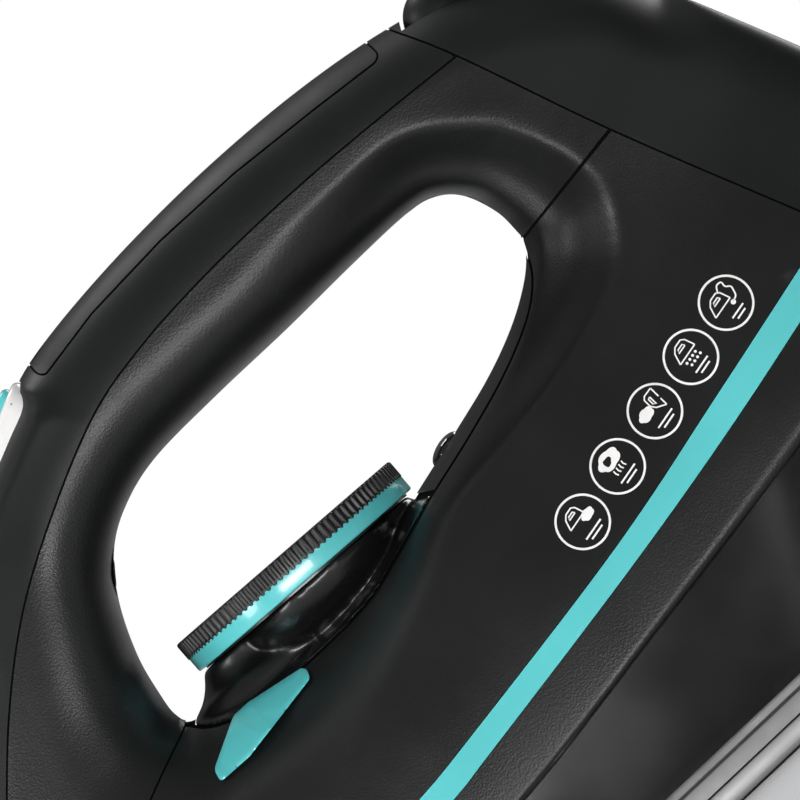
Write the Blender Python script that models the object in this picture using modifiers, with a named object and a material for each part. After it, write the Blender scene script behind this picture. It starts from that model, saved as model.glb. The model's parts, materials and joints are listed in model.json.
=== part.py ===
"""Steam iron, modelled as the assembly of its separate pieces.

Frame: +Z up, nose towards -X, origin under the middle of the overall length, on the ironing face.
Outlines are drawn in millimetres on the side view, from a datum DATUM_X ahead of the origin.
"""

import math

import bmesh
import bpy
import numpy as np
from mathutils import Matrix, Vector

MM = 0.001
DATUM_X = 7.2  # side-view datum, measured from the origin

# Driving dimensions, millimetres
NOSE_X = -149.3  # tip of the soleplate
SOLE_REAR_X = 101.0
SOLE_WIDEST = 0.66  # share of its length from the nose
SOLE_HALF = 54.2
HALF_WIDTH = 58.0  # widest half of the body
WALL = 2.2  # moulded wall
GAP = 0.3  # clearance between touching pieces
SEAM = 0.2  # half of the open joint between two shells

FACE_TOP = 4.0
CASTING = (4.3, 12.6)
COVER = (12.9, 14.2)
SHIELD = (26.0, 27.5)
TANK = (30.0, 61.0)
SKIRT_BOTTOM = 9.6

DIAL_X = -19.6
DIAL_TILT = math.radians(2.4)
DIAL_RADIUS = 26.2
DIAL_BASE_Z = 84.2
DIAL_RING = 3.4
DIAL_KNURL = 3.0
VALVE_X = -44.0

DIAL_AXIS = (math.sin(DIAL_TILT), 0.0, math.cos(DIAL_TILT))
SHAFT_R = 2.6
POD = [(19.0, -10.6), (22.6, -6.4), (24.6, -2.6), (25.4, -GAP)]  # pedestal, (radius, height)
NECK = [
    (-45.0, 84.9), (-46.2, 83.2), (-48.0, 81.4), (-50.4, 80.2), (-49.6, 78.4), (-44.0, 76.2),
    (-34.0, 75.2), (-13.0, 75.6), (-4.0, 77.6), (1.4, 80.6), (2.6, 82.9),
]  # fmt: skip
NECK_HALF = 12.0
LENS_X, LENS_Z = 16.1, 84.1
LENS_R = 3.8
LENS_TILT = math.radians(15.0)

TAB_LEG_X = -49.0
TAB_LEG = 4.0
TAB_LEG_Y = (-26.0, -22.9)
TAB_TRAVEL = 8.0
BUTTON_TILT = math.radians(26.0)
BUTTON_SEAT = (-47.3, 139.9)
BUTTON_HALF = 3.1
BEZEL = ((-15.5, 16.0), 8.5, 1.8)  # its two ends, half width and height
CAP = ((-13.0, 14.8), 3.9)  # a button's two ends and height
PUMP_Y = 3.95
SPRING_TURNS = 3
SPRING_STEPS = 8
SWIVEL = (70.6, 143.4)
SWIVEL_AXIS = math.radians(41.0)
SWIVEL_LEAN = math.radians(16.0)
SWIVEL_R = 7.0
CORD_R = 3.4  # bore for the mains cord
GLAND_LENGTH = 26.0
FILL_X, FILL_Z = -93.5, 105.4
FILL_TILT = math.radians(46.5)
HINGE_U, HINGE_N = 10.6, -1.9
NOZZLE = (-116.0, 80.2)
SKIRT_REAR = 114.0
SKIRT_NOSE = -139.5
SKIRT_INSET = 4.1

AROUND = 53  # envelope samples round the opening
ACROSS = 9  # and from its rim to the outline

# ---------------------------------------------------------------- outlines, (x, z) in millimetres

RIM = [
    (53.6, 103.0), (53.4, 108.0), (52.0, 114.5), (47.5, 119.4), (42.0, 121.0), (30.0, 121.1),
    (10.0, 120.7), (-10.0, 120.7), (-24.0, 120.1), (-36.0, 116.6), (-44.5, 110.2), (-50.0, 100.2),
    (-53.3, 91.0), (-54.4, 84.0), (-54.0, 80.0),
]  # fmt: skip
CREASE = [
    (67.6, 135.7), (52.0, 137.1), (36.0, 138.1), (20.0, 138.5), (4.0, 138.2), (-12.0, 136.8),
    (-27.0, 133.6), (-45.0, 125.6), (-62.0, 115.8), (-78.0, 102.6), (-95.0, 85.0), (-113.0, 66.5),
    (-127.5, 51.5),
]  # fmt: skip
TOP = [
    (61.6, 148.6), (48.0, 150.9), (34.0, 152.1), (20.0, 152.8), (8.0, 152.7), (-8.0, 151.9),
    (-22.0, 150.2), (-33.5, 147.6), (-36.5, 144.6), (-43.0, 141.8), (-56.0, 136.0), (-70.0, 127.5),
    (-84.0, 115.5), (-100.0, 98.5), (-117.0, 79.0), (-133.0, 57.5),
]  # fmt: skip
FRONT_SEAM = [(-54.0, 80.0), (-68.2, 74.4), (-85.0, 66.5), (-105.0, 58.5), (-127.5, 51.5)]
LOWER = [
    (-147.0, 19.0), (-143.0, 19.2), (-128.0, 20.0), (-105.0, 21.4), (-80.0, 23.0), (-50.0, 25.0),
    (-20.0, 27.4), (0.0, 30.0), (20.0, 33.2), (41.0, 36.4), (60.0, 39.4), (78.0, 42.6),
    (92.0, 44.7), (106.0, 46.6), (126.0, 48.0),
]  # fmt: skip
REAR_SEAM = [(61.8, 148.6), (67.8, 135.6), (79.0, 106.2), (94.0, 71.0), (103.8, 47.6)]
REAR_TOP = [(61.8, 148.6), (72.0, 146.2), (83.0, 141.6), (93.0, 135.0), (100.0, 127.6), (104.2, 119.6)]
BACK_SLOPE = 0.432  # the heel's back leans this much per millimetre of height
BACK_FOOT = (135.3, 47.0)

# Half-width of the side surface against height, as a share of HALF_WIDTH
TAPER_Z = [0, 20, 30, 45, 60, 73, 90, 105, 120, 137, 160]
TAPER = [1.0, 1.0, 0.985, 0.93, 0.82, 0.665, 0.535, 0.455, 0.375, 0.295, 0.25]
# Distance from the hand opening's rim over which the side swells out, round the rim from 0 to 1
RIM_REACH = (
    [0, 0.03, 0.06, 0.1, 0.2, 0.45, 0.6, 0.72, 0.8, 0.88, 0.95, 1],
    [17.7, 16.2, 13.2, 12.6, 14.5, 17, 26, 14, 8.6, 9.8, 13, 17.7],
)
# The same from the top edge, against x: fuller round the buttons
TOP_REACH = ([-78, -62, -36, -27], [14.5, 5.5, 5.5, 14.5])
OGEE = (
    [0, 0.03, 0.1, 0.18, 0.3, 0.42, 0.56, 0.72, 0.86, 0.96, 1.04, 1.2],
    [0, 0.19, 0.35, 0.44, 0.505, 0.555, 0.64, 0.77, 0.885, 0.96, 0.988, 1],
)


# ---------------------------------------------------------------- curves and the outer surface


def spline(points, count, even=True):
    """Catmull-Rom curve through the points, read at count places."""
    p = np.array(points, float)
    ends = [2 * p[0] - p[1]], [2 * p[-1] - p[-2]]
    q = np.concatenate([ends[0], p, ends[1]])
    fine = []
    for i in range(1, len(q) - 2):
        for t in np.linspace(0, 1, 24, endpoint=False):
            a = 2 * q[i]
            b = q[i + 1] - q[i - 1]
            c = 2 * q[i - 1] - 5 * q[i] + 4 * q[i + 1] - q[i + 2]
            d = -q[i - 1] + 3 * q[i] - 3 * q[i + 1] + q[i + 2]
            fine.append(0.5 * (a + b * t + c * t * t + d * t**3))
    fine = np.array(fine + [p[-1]])
    if even:
        s = np.concatenate([[0], np.cumsum(np.linalg.norm(np.diff(fine, axis=0), axis=1))])
    else:
        s = np.arange(len(fine), dtype=float)
    at = np.linspace(0, s[-1], count)
    return np.stack([np.interp(at, s, fine[:, k]) for k in range(p.shape[1])], 1)


FLOOR = [
    (-50.0, 79.3), (-36.0, 77.5), (-22.0, 77.0), (-6.0, 78.6), (8.0, 82.2), (20.0, 85.3),
    (31.0, 88.4), (40.0, 92.0), (47.0, 96.0), (51.5, 99.8), (53.6, 103.0),
]  # fmt: skip
RIM_FINE = spline(RIM + FLOOR, 400)
TOP_FINE = spline(TOP[::-1] + REAR_TOP[1:], 400)


def away_from(curve, x, z):
    """Distance of each point from a fine curve, and the nearest place on it from 0 to 1."""
    d = np.hypot(x[..., None] - curve[:, 0], z[..., None] - curve[:, 1])
    return d.min(-1), d.argmin(-1) / (len(curve) - 1)


def smooth(t):
    t = np.clip(t, 0, 1)
    return t * t * (3 - 2 * t)


def quarter_round(t, power=2.0):
    return (1 - (1 - np.clip(t, 0, 1)) ** power) ** 0.5


def half_width(x, z):
    """Half the iron's width at a point of the side view, in millimetres."""
    x, z = np.asarray(x, float), np.asarray(z, float)
    nose = NOSE_X + 2.0 + (z - 19.0) * 0.37
    t = np.clip((x - nose) / (20.0 - nose), 0, 1)
    plan = (1 - (1 - t) ** 2.1) ** 0.68
    plan = plan * (1 - 0.13 * np.clip((x - 20) / 115, 0, 2) ** 2)
    side = HALF_WIDTH * np.interp(z, TAPER_Z, TAPER) * plan
    d_top, _ = away_from(TOP_FINE, x, z)
    side = side * quarter_round(d_top / np.interp(x, *TOP_REACH), 2.1)
    d_rim, place = away_from(RIM_FINE, x, z)
    reach = np.interp(place, *RIM_REACH)
    rounded = quarter_round(d_rim / reach)
    flow = smooth((x - 6) / 50)
    side = side * (rounded * (1 - flow) + np.interp(d_rim / reach, *OGEE) * flow)
    back = (BACK_FOOT[0] + (BACK_FOOT[1] - z) * BACK_SLOPE - x) * math.cos(math.atan(BACK_SLOPE))
    return side * (0.72 + 0.28 * quarter_round(back / 13.0, 2.0))


def sole_half_width(share):
    """Half-width of the soleplate at a share of its length from the nose."""
    shares = [0, 0.008, 0.03, 0.08, 0.16, 0.28, 0.42, 0.56, SOLE_WIDEST]
    widths = [0, 2.8, 7.6, 15.4, 25.4, 37.6, 47.6, 53.0, SOLE_HALF]
    rear = np.clip((np.asarray(share) - SOLE_WIDEST) / (1 - SOLE_WIDEST), 0, 1)
    return np.interp(share, shares, widths) * (1 - rear**2.7) ** 0.46


def sole_outline(inset, count=40):
    """Right-hand half of the soleplate's plan outline, nose to rear, moved in by inset."""
    front = SOLE_WIDEST * (1 - np.cos(np.linspace(0, 1, count // 2) * math.pi / 2) ** 0.8)
    turn = np.linspace(0, 1, count - len(front) + 1)[1:] * math.pi / 2
    shares = np.concatenate([front, SOLE_WIDEST + (1 - SOLE_WIDEST) * np.sin(turn) ** 0.8])
    p = np.stack([NOSE_X + shares * (SOLE_REAR_X - NOSE_X), -sole_half_width(shares)], 1)
    tangent = np.gradient(p, axis=0)
    normal = np.stack([-tangent[:, 1], tangent[:, 0]], 1)
    normal /= np.linalg.norm(normal, axis=1)[:, None]
    p = p + normal * inset
    p[0] = (NOSE_X + inset * 1.6, 0)
    p[-1] = (SOLE_REAR_X - inset, 0)
    keep = (p[:, 1] < -0.4) | (np.arange(len(p)) % (len(p) - 1) == 0)
    return p[keep]


# ---------------------------------------------------------------- scene and mesh helpers


def clear_scene():
    for obj in list(bpy.data.objects):
        bpy.data.objects.remove(obj)


def collection(name):
    made = bpy.data.collections.new(name)
    bpy.context.scene.collection.children.link(made)
    return made


clear_scene()
IRON = collection("steam_iron")
CUTTERS = collection("cutters")
CUTTERS.hide_render = True


def material(name, colour, roughness, metallic=0.0):
    made = bpy.data.materials.new(name)
    made.use_nodes = True
    shader = made.node_tree.nodes["Principled BSDF"]
    shader.inputs["Base Color"].default_value = (*colour, 1)
    shader.inputs["Roughness"].default_value = roughness
    shader.inputs["Metallic"].default_value = metallic
    return made


SATIN_BLACK = material("satin_black", (0.013, 0.014, 0.014), 0.38)
GRAIN_BLACK = material("grain_black", (0.016, 0.016, 0.016), 0.55)
GLOSS_BLACK = material("gloss_black", (0.008, 0.008, 0.008), 0.12)
RUBBER = material("rubber_black", (0.02, 0.02, 0.02), 0.7)
TEAL = material("teal_gloss", (0.09, 0.5, 0.5), 0.2)
WHITE = material("pearl_white", (0.85, 0.84, 0.83), 0.22)
STEEL = material("steel", (0.55, 0.55, 0.56), 0.3, 1.0)
CAST = material("cast_aluminium", (0.42, 0.42, 0.42), 0.5, 1.0)
CERAMIC = material("sole_finish", (0.6, 0.6, 0.6), 0.25, 1.0)
BRASS = material("brass", (0.7, 0.55, 0.25), 0.3, 1.0)
CLEAR = material("tank_plastic", (0.35, 0.45, 0.5), 0.1)
SILICONE = material("silicone", (0.7, 0.25, 0.15), 0.6)
WIRE = material("wire", (0.6, 0.12, 0.05), 0.5)


def place(obj, into=IRON):
    for owner in list(obj.users_collection):
        owner.objects.unlink(obj)
    into.objects.link(obj)
    return obj


def world(x, y, z):
    """Point of the side view in the part's frame, in metres."""
    return Vector(((x + DATUM_X) * MM, y * MM, z * MM))


def mesh_object(name, bm, mat, into=IRON):
    bmesh.ops.recalc_face_normals(bm, faces=bm.faces[:])
    mesh = bpy.data.meshes.new(name)
    bm.to_mesh(mesh)
    bm.free()
    mesh.shade_smooth()
    mesh.set_sharp_from_angle(angle=math.radians(35))
    obj = bpy.data.objects.new(name, mesh)
    into.objects.link(obj)
    if into is CUTTERS:
        as_cutter(obj)
    if mat:
        obj.data.materials.append(mat)
    return obj


def as_cutter(obj):
    obj.hide_render = True
    obj.display_type = "WIRE"


def grid_mesh(grid, close_u=False):
    """bmesh of a grid of points (u, v, 3) in side-view millimetres."""
    bm = bmesh.new()
    rows = [[bm.verts.new(world(*p)) for p in row] for row in grid]
    if close_u:
        rows.append(rows[0])
    for a, b in zip(rows, rows[1:]):
        for k in range(len(a) - 1):
            bm.faces.new((a[k], b[k], b[k + 1], a[k + 1]))
    return bm


def outward(obj):
    """Turns an open surface's faces away from the iron's inside."""
    bm = bmesh.new()
    bm.from_mesh(obj.data)
    middle = world(0, 0, 60)
    facing = sum((f.calc_center_median() - middle).dot(f.normal) * f.calc_area() for f in bm.faces)
    if facing < 0:
        bmesh.ops.reverse_faces(bm, faces=bm.faces[:])
    bm.to_mesh(obj.data)
    bm.free()


def baked(obj):
    """Applies the object's modifiers."""
    graph = bpy.context.evaluated_depsgraph_get()
    graph.update()
    mesh = bpy.data.meshes.new_from_object(obj.evaluated_get(graph))
    obj.modifiers.clear()
    old = obj.data
    obj.data = mesh
    if old.users == 0 and isinstance(old, bpy.types.Mesh):
        bpy.data.meshes.remove(old)
    return obj


def cut(target, cutter, operation="DIFFERENCE"):
    """Boolean with a helper object, which then leaves the render."""
    place(cutter, CUTTERS)
    as_cutter(cutter)
    mod = target.modifiers.new(cutter.name, "BOOLEAN")
    mod.operation = operation
    mod.object = cutter
    mod.solver = "EXACT"
    baked(target)
    return target


def named(obj, name, mat):
    obj.name = name
    obj.data.name = name
    obj.data.materials.clear()
    if mat:
        obj.data.materials.append(mat)
    return obj


def cylinder(name, mat, radius, low, high, sides=24, into=IRON, top_radius=None):
    """Rod or tapered rod from low to high, two points in side-view millimetres."""
    a, b = world(*low), world(*high)
    bm = bmesh.new()
    bmesh.ops.create_cone(
        bm, cap_ends=True, segments=sides, radius1=radius * MM,
        radius2=(radius if top_radius is None else top_radius) * MM, depth=(b - a).length,
    )  # fmt: skip
    obj = mesh_object(name, bm, mat, into)
    obj.location = (a + b) / 2
    obj.rotation_mode = "QUATERNION"
    obj.rotation_quaternion = (b - a).to_track_quat("Z", "Y")
    bpy.context.view_layer.update()
    return obj


def block(name, mat, low, high, into=IRON, bevel=0.0):
    """Box between two corners in side-view millimetres."""
    a, b = world(*low), world(*high)
    bm = bmesh.new()
    bmesh.ops.create_cube(bm, size=1.0)
    bmesh.ops.scale(bm, vec=b - a, verts=bm.verts[:])
    obj = mesh_object(name, bm, mat, into)
    obj.location = (a + b) / 2
    bpy.context.view_layer.update()
    if bevel:
        mod = obj.modifiers.new("edges", "BEVEL")
        mod.width = bevel * MM
        mod.segments = 2
        baked(obj)
    return obj


def turned(name, mat, profile, origin, axis, steps=32, into=IRON):
    """Solid of revolution: profile of (radius, height) from bottom to top, closed on the axis."""
    bm = bmesh.new()
    rings = []
    for radius, height in profile:
        if radius < 1e-6:
            rings.append([bm.verts.new((0, 0, height * MM))])
            continue
        rings.append([
            bm.verts.new((
                radius * MM * math.cos(2 * math.pi * k / steps),
                radius * MM * math.sin(2 * math.pi * k / steps),
                height * MM,
            ))
            for k in range(steps)
        ])  # fmt: skip
    for a, b in zip(rings, rings[1:]):
        for k in range(steps):
            n = (k + 1) % steps
            corners = [a[k % len(a)], a[n % len(a)], b[n % len(b)], b[k % len(b)]]
            unique = list(dict.fromkeys(corners))
            if len(unique) > 2:
                bm.faces.new(unique)
    for ring, ends in ((rings[0], profile[0]), (rings[-1], profile[-1])):
        if len(ring) > 1 and ends is not None and len(rings) > 1 and profile[0] != profile[-1]:
            bm.faces.new(ring)
    if profile[0] == profile[-1] and len(rings[0]) > 1:
        bmesh.ops.remove_doubles(bm, verts=bm.verts[:], dist=1e-7)
    obj = mesh_object(name, bm, mat, into)
    obj.location = world(*origin)
    obj.rotation_mode = "QUATERNION"
    obj.rotation_quaternion = Vector(axis).to_track_quat("Z", "Y")
    bpy.context.view_layer.update()
    return obj


def tube(name, mat, points, radius, resolution=2, into=IRON):
    """Wire or pipe through points in side-view millimetres."""
    curve = bpy.data.curves.new(name, "CURVE")
    curve.dimensions = "3D"
    curve.bevel_depth = radius * MM
    curve.bevel_resolution = resolution
    curve.use_fill_caps = True
    line = curve.splines.new("POLY")
    line.points.add(len(points) - 1)
    for spot, p in zip(line.points, points):
        spot.co = (*world(*p), 1)
    obj = bpy.data.objects.new(name, curve)
    into.objects.link(obj)
    obj.data.materials.append(mat)
    return obj


def slab(name, mat, half, low, high, into=IRON, bevel=0.0):
    """Plate with a plan outline given by its right-hand half, between two heights."""
    loop = [(x, y) for x, y in half] + [(x, -y) for x, y in half[::-1] if y]
    bm = bmesh.new()
    bottom = [bm.verts.new(world(x, y, low)) for x, y in loop]
    face = bm.faces.new(bottom)
    raised = bmesh.ops.extrude_face_region(bm, geom=[face])
    lifted = [v for v in raised["geom"] if isinstance(v, bmesh.types.BMVert)]
    bmesh.ops.translate(bm, vec=(0, 0, (high - low) * MM), verts=lifted)
    obj = mesh_object(name, bm, mat, into)
    if bevel:
        mod = obj.modifiers.new("edges", "BEVEL")
        mod.width = bevel * MM
        mod.segments = 2
        mod.limit_method = "ANGLE"
        mod.angle_limit = math.radians(50)
        baked(obj)
    return obj


# ---------------------------------------------------------------- the outer envelope


# Pairs of places on the opening's rim and on the outer outline, round the iron from the heel's back
STATIONS = [
    ((53.6, 103.5), (110.9, 103.5)), ((53.4, 109.5), (104.6, 118.0)), ((51.0, 116.0), (95.0, 133.4)),
    ((47.0, 119.6), (79.0, 143.6)), ((41.0, 121.0), (61.8, 148.6)), ((28.0, 121.1), (42.0, 151.6)),
    ((10.0, 120.7), (20.0, 152.8)), ((-8.0, 120.7), (-2.0, 152.3)), ((-24.0, 120.1), (-22.0, 150.3)),
    ((-34.0, 117.5), (-34.2, 147.4)), ((-41.5, 113.0), (-43.0, 141.8)), ((-47.5, 105.4), (-62.0, 132.6)),
    ((-52.0, 95.5), (-84.0, 115.5)), ((-54.0, 87.0), (-108.0, 89.6)), ((-54.4, 82.6), (-133.0, 57.5)),
    ((-53.0, 80.0), (-147.3, 19.0)), ((-47.0, 78.8), (-128.0, 20.0)), ((-36.0, 77.5), (-90.0, 22.4)),
    ((-22.0, 77.0), (-50.0, 25.0)), ((-6.0, 78.6), (-14.0, 28.0)), ((8.0, 82.2), (20.0, 33.2)),
    ((20.0, 85.3), (50.0, 37.8)), ((31.0, 88.4), (78.0, 42.6)), ((40.0, 92.0), (106.0, 46.6)),
    ((47.0, 96.0), (134.6, 48.6)), ((51.5, 99.8), (120.8, 80.6)), ((53.6, 103.5), (110.9, 103.5)),
]  # fmt: skip
FOOT_DROP = 5.0  # how far an inset envelope runs out below the foot
FIRST_LOWER = 15  # station where the outline turns under the nose
LAST_LOWER = 24  # station at the heel's foot


def envelope_grid(around, across, inset=0.0):
    """Right-hand half of the iron's outside as a grid (around, across, 3), shrunk by inset."""
    keys = np.array(STATIONS, float)
    t = np.linspace(0, len(STATIONS) - 1, around)
    t[np.abs(t - FIRST_LOWER).argmin()] = FIRST_LOWER
    t[np.abs(t - LAST_LOWER).argmin()] = LAST_LOWER
    inner = np.zeros((around, 2))
    outer = np.zeros((around, 2))
    corners = [0, 1, FIRST_LOWER, LAST_LOWER, len(STATIONS) - 1]
    for a, b in zip(corners, corners[1:]):
        fine = (b - a) * 24 + 1
        at = np.linspace(a, b, fine)
        here = (t >= a) & (t <= b)
        curve = spline(keys[a : b + 1, 1], fine, even=False)
        outer[here] = np.stack([np.interp(t[here], at, curve[:, i]) for i in range(2)], 1)
    fine = (len(STATIONS) - 1) * 24 + 1
    curve = spline(keys[:, 0], fine, even=False)
    at = np.linspace(0, len(STATIONS) - 1, fine)
    inner[:] = np.stack([np.interp(t, at, curve[:, i]) for i in range(2)], 1)
    share = 0.5 - 0.5 * np.cos(math.pi * np.linspace(0, 1, across))
    share = 0.75 * share + 0.25 * np.linspace(0, 1, across)
    xz = inner[:, None] * (1 - share[None, :, None]) + outer[:, None] * share[None, :, None]
    y = -half_width(xz[..., 0], xz[..., 1])
    y[:, 0] = 0.0
    open_end = (t > FIRST_LOWER - 0.01) & (t < LAST_LOWER + 0.01)
    back = (t > LAST_LOWER - 0.01) | (t < 1.01)
    y[~(open_end | back), -1] = 0.0
    grid = np.stack([xz[..., 0], y, xz[..., 1]], -1)
    if inset:
        grid = grid + inset * inward(grid)
        grid[open_end, -1, 2] -= FOOT_DROP
        lean = math.atan(BACK_SLOPE)
        grid[back, -1] -= inset * np.array([math.cos(lean), 0, math.sin(lean)])
        grid[:, 0, 1] = 0.0
        grid[~(open_end | back), -1, 1] = 0.0
        grid[-1] = grid[0]
    return grid, open_end, back


def inward(grid):
    """Unit normals of a closed-round grid, pointing to the iron's inside."""
    ring = np.concatenate([grid[-2:-1], grid, grid[1:2]])
    du = ring[2:] - ring[:-2]
    mirror = grid[:, 1:2] * np.array([1, -1, 1])
    row = np.concatenate([mirror, grid, grid[:, -1:]], 1)
    end = grid[:, -2:-1] * np.array([1, -1, 1])
    row[:, -1:] = np.where(np.abs(grid[:, -1:, 1:2]) < 1e-9, end, row[:, -1:])
    dv = row[:, 2:] - row[:, :-2]
    n = np.cross(du, dv)
    n /= np.linalg.norm(n, axis=-1)[..., None] + 1e-12
    turn = np.sign((n[..., 1]).sum())
    return n * turn


def envelope(name, around, across, inset=0.0):
    """Outside of the iron as a closed mesh, or a surface at an even depth under it."""
    grid, open_end, back = envelope_grid(around, across, inset)
    bm = bmesh.new()
    verts = {}
    for side in (1, -1):
        rows = []
        for i in range(len(grid) - 1):
            row = []
            for j in range(grid.shape[1]):
                x, y, z = grid[i, j]
                middle = abs(y) < 1e-9
                key = (i, j, 0 if middle else side)
                if key not in verts:
                    verts[key] = bm.verts.new(world(x, 0.0 if middle else y * side, z))
                row.append(verts[key])
            x, y, z = grid[i, -1]
            if abs(y) > 1e-9 and (back[i] or open_end[i]):
                key = (i, -1, 0)
                if key not in verts:
                    verts[key] = bm.verts.new(world(x, 0.0, z))
                row.append(verts[key])
            rows.append(row)
        for a, b in zip(rows, rows[1:] + rows[:1]):
            for k in range(max(len(a), len(b)) - 1):
                corners = [a[min(k, len(a) - 1)], b[min(k, len(b) - 1)],
                           b[min(k + 1, len(b) - 1)], a[min(k + 1, len(a) - 1)]]  # fmt: skip
                corners = list(dict.fromkeys(corners))
                if len(corners) > 2:
                    bm.faces.new(corners)
    return mesh_object(name, bm, None, CUTTERS)


def prism(name, outline, reach=90.0, low=None):
    """Side-view outline carried through the iron's width."""
    bm = bmesh.new()
    near = -reach if low is None else low
    faces = [[bm.verts.new(world(x, y, z)) for x, z in outline] for y in (near, reach)]
    bm.faces.new(faces[0])
    bm.faces.new(faces[1])
    n = len(outline)
    for k in range(n):
        m = (k + 1) % n
        bm.faces.new((faces[0][k], faces[0][m], faces[1][m], faces[1][k]))
    return mesh_object(name, bm, None, CUTTERS)


def copy_of(obj, name):
    made = obj.copy()
    made.data = obj.data.copy()
    made.name = name
    IRON.objects.link(made)
    made.hide_render = False
    made.display_type = "TEXTURED"
    return made


def set_origin(obj, point):
    """Moves an object's origin without moving its mesh."""
    offset = obj.matrix_world.inverted() @ world(*point)
    obj.data.transform(Matrix.Translation(-offset))
    obj.matrix_world = obj.matrix_world @ Matrix.Translation(offset)
    bpy.context.view_layer.update()


def piece_of(solid, name, outline, mat):
    """The part of a solid that lies inside a side-view outline."""
    made = copy_of(solid, name)
    cut(made, prism(name + "_region", outline), "INTERSECT")
    return named(made, name, mat)


def shifted(curve, by):
    """Curve moved to its left-hand side by a distance in millimetres."""
    t = np.gradient(curve, axis=0)
    n = np.stack([-t[:, 1], t[:, 0]], 1)
    return curve + n / np.linalg.norm(n, axis=1)[:, None] * by


def seam(points, count=24, by=0.0):
    """Smooth seam line as side-view points, moved to its left by a distance."""
    return [tuple(p) for p in shifted(spline(points, count), by)]


def rear_run(high, low, by, count=5):
    """Stretch of the rear seam between two heights, top to bottom, moved to its left."""
    fine = shifted(spline(REAR_SEAM, 121), by)
    z = np.linspace(high, low, count)
    return [(float(np.interp(-h, -fine[:, 1], fine[:, 0])), float(h)) for h in z]


def joined(*runs):
    """One outline from several runs of points, leaving out points that nearly repeat."""
    points = []
    for p in [p for run in runs for p in run]:
        if not points or math.dist(p, points[-1]) > 0.6:
            points.append(p)
    return points


def box_cutter(name, low, high):
    return block(name, None, low, high, CUTTERS)


def local_frame(origin, tilt):
    """Side-view frame on a slope: along (rearward), across (y), and out of the surface."""
    along = np.array([math.cos(tilt), math.sin(tilt)])
    out = np.array([-math.sin(tilt), math.cos(tilt)])

    def at(u, y, n):
        p = np.array(origin) + along * u + out * n
        return (p[0], y, p[1])

    return at


def slope_block(name, mat, at, low, high, into=IRON, bevel=0.0):
    """Box whose sides follow a sloping frame."""
    bm = bmesh.new()
    corners = [bm.verts.new(world(*at(u, y, n))) for u in (low[0], high[0]) for y in (low[1], high[1])
               for n in (low[2], high[2])]  # fmt: skip
    for quad in ((0, 1, 3, 2), (4, 6, 7, 5), (0, 4, 5, 1), (2, 3, 7, 6), (0, 2, 6, 4), (1, 5, 7, 3)):
        bm.faces.new([corners[k] for k in quad])
    obj = mesh_object(name, bm, mat, into)
    if bevel:
        mod = obj.modifiers.new("edges", "BEVEL")
        mod.width = bevel * MM
        mod.segments = 2
        baked(obj)
    return obj


# ---------------------------------------------------------------- seams between the shells

NOSE_SEAM = [(-170.0, 36.0), (-140.0, 46.6)] + FRONT_SEAM[:0:-1] + [(-54.0, 80.0), (-46.0, 83.0)]
DECK_SEAM = [
    (-54.4, 79.8), (-51.0, 76.4), (-44.0, 73.8), (-34.0, 72.9), (-24.0, 72.7), (-13.0, 73.4),
    (-4.0, 75.8), (8.2, 79.6),
]  # fmt: skip
TRIM_SEAM = [(8.2, 79.6), (22.0, 83.2), (34.0, 87.0), (44.0, 91.6), (50.0, 96.6), (53.2, 102.6)]
STRIPE_TOP = [(-132.0, 35.6), (-90.0, 36.4), (-60.0, 38.0), (-32.3, 40.6), (-18.2, 42.4), (26.2, 49.6),
              (60.0, 57.4), (95.2, 65.9)]  # fmt: skip
STRIPE_LOW = [(-134.0, 33.4), (-90.0, 32.2), (-60.0, 33.4), (-27.7, 36.2), (-18.2, 37.6), (26.2, 45.0),
              (60.0, 51.8), (97.2, 60.8)]  # fmt: skip
INLAY = [
    (-29.6, 158.0), (-29.6, 146.4), (-28.6, 145.2), (-14.5, 147.6), (4.0, 148.7), (22.5, 148.4),
    (41.0, 146.9), (56.0, 145.4), (57.4, 146.2), (56.9, 158.0),
]  # fmt: skip
TAB = [
    (-56.3, 68.2), (-55.9, 69.9), (-46.1, 75.1), (-42.7, 74.9), (-30.8, 72.7), (-31.1, 70.7),
    (-48.1, 68.2),
]  # fmt: skip


def grown(outline, by):
    """Closed outline moved outwards by a distance."""
    p = np.array(outline, float)
    area = 0.5 * np.sum(p[:, 0] * np.roll(p[:, 1], -1) - np.roll(p[:, 0], -1) * p[:, 1])
    a = p - np.roll(p, 1, 0)
    b = np.roll(p, -1, 0) - p
    a /= np.linalg.norm(a, axis=1)[:, None]
    b /= np.linalg.norm(b, axis=1)[:, None]
    na = np.stack([a[:, 1], -a[:, 0]], 1) * np.sign(area)
    nb = np.stack([b[:, 1], -b[:, 0]], 1) * np.sign(area)
    m = na + nb
    m /= (m * na).sum(1)[:, None]
    return [tuple(v) for v in p + m * by]


# ---------------------------------------------------------------- outer shells


def outer_shell():
    """The whole moulded wall before it is split along its seams."""
    solid = envelope("envelope_outer", AROUND, ACROSS)
    hollow = envelope("envelope_inner", AROUND, ACROSS, WALL)
    cut(solid, hollow)
    return solid


def body_shell(shell):
    outline = joined(
        [(-170.0, 5.0)], seam(NOSE_SEAM[:-1], 16, -SEAM)[:-1], seam(DECK_SEAM, 12, -SEAM),
        seam(TRIM_SEAM, 8, -SEAM), rear_run(106.0, 47.4, -SEAM, 5), [(112.0, 28.0), (112.0, 5.0)],
    )  # fmt: skip
    return piece_of(shell, "body_shell", outline, GRAIN_BLACK)


def stripes(shell, body):
    outline = joined(seam(STRIPE_TOP, 9), seam(STRIPE_LOW, 9)[::-1])
    cut(body, prism("stripe_slot", grown(outline, GAP / 2)))
    inner = grown(outline, -GAP / 2)
    for name, low, high in (("stripe_right", -90.0, -4.0), ("stripe_left", 4.0, 90.0)):
        made = copy_of(shell, name)
        cut(made, prism(name + "_region", inner, high, low), "INTERSECT")
        named(made, name, TEAL)


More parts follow.
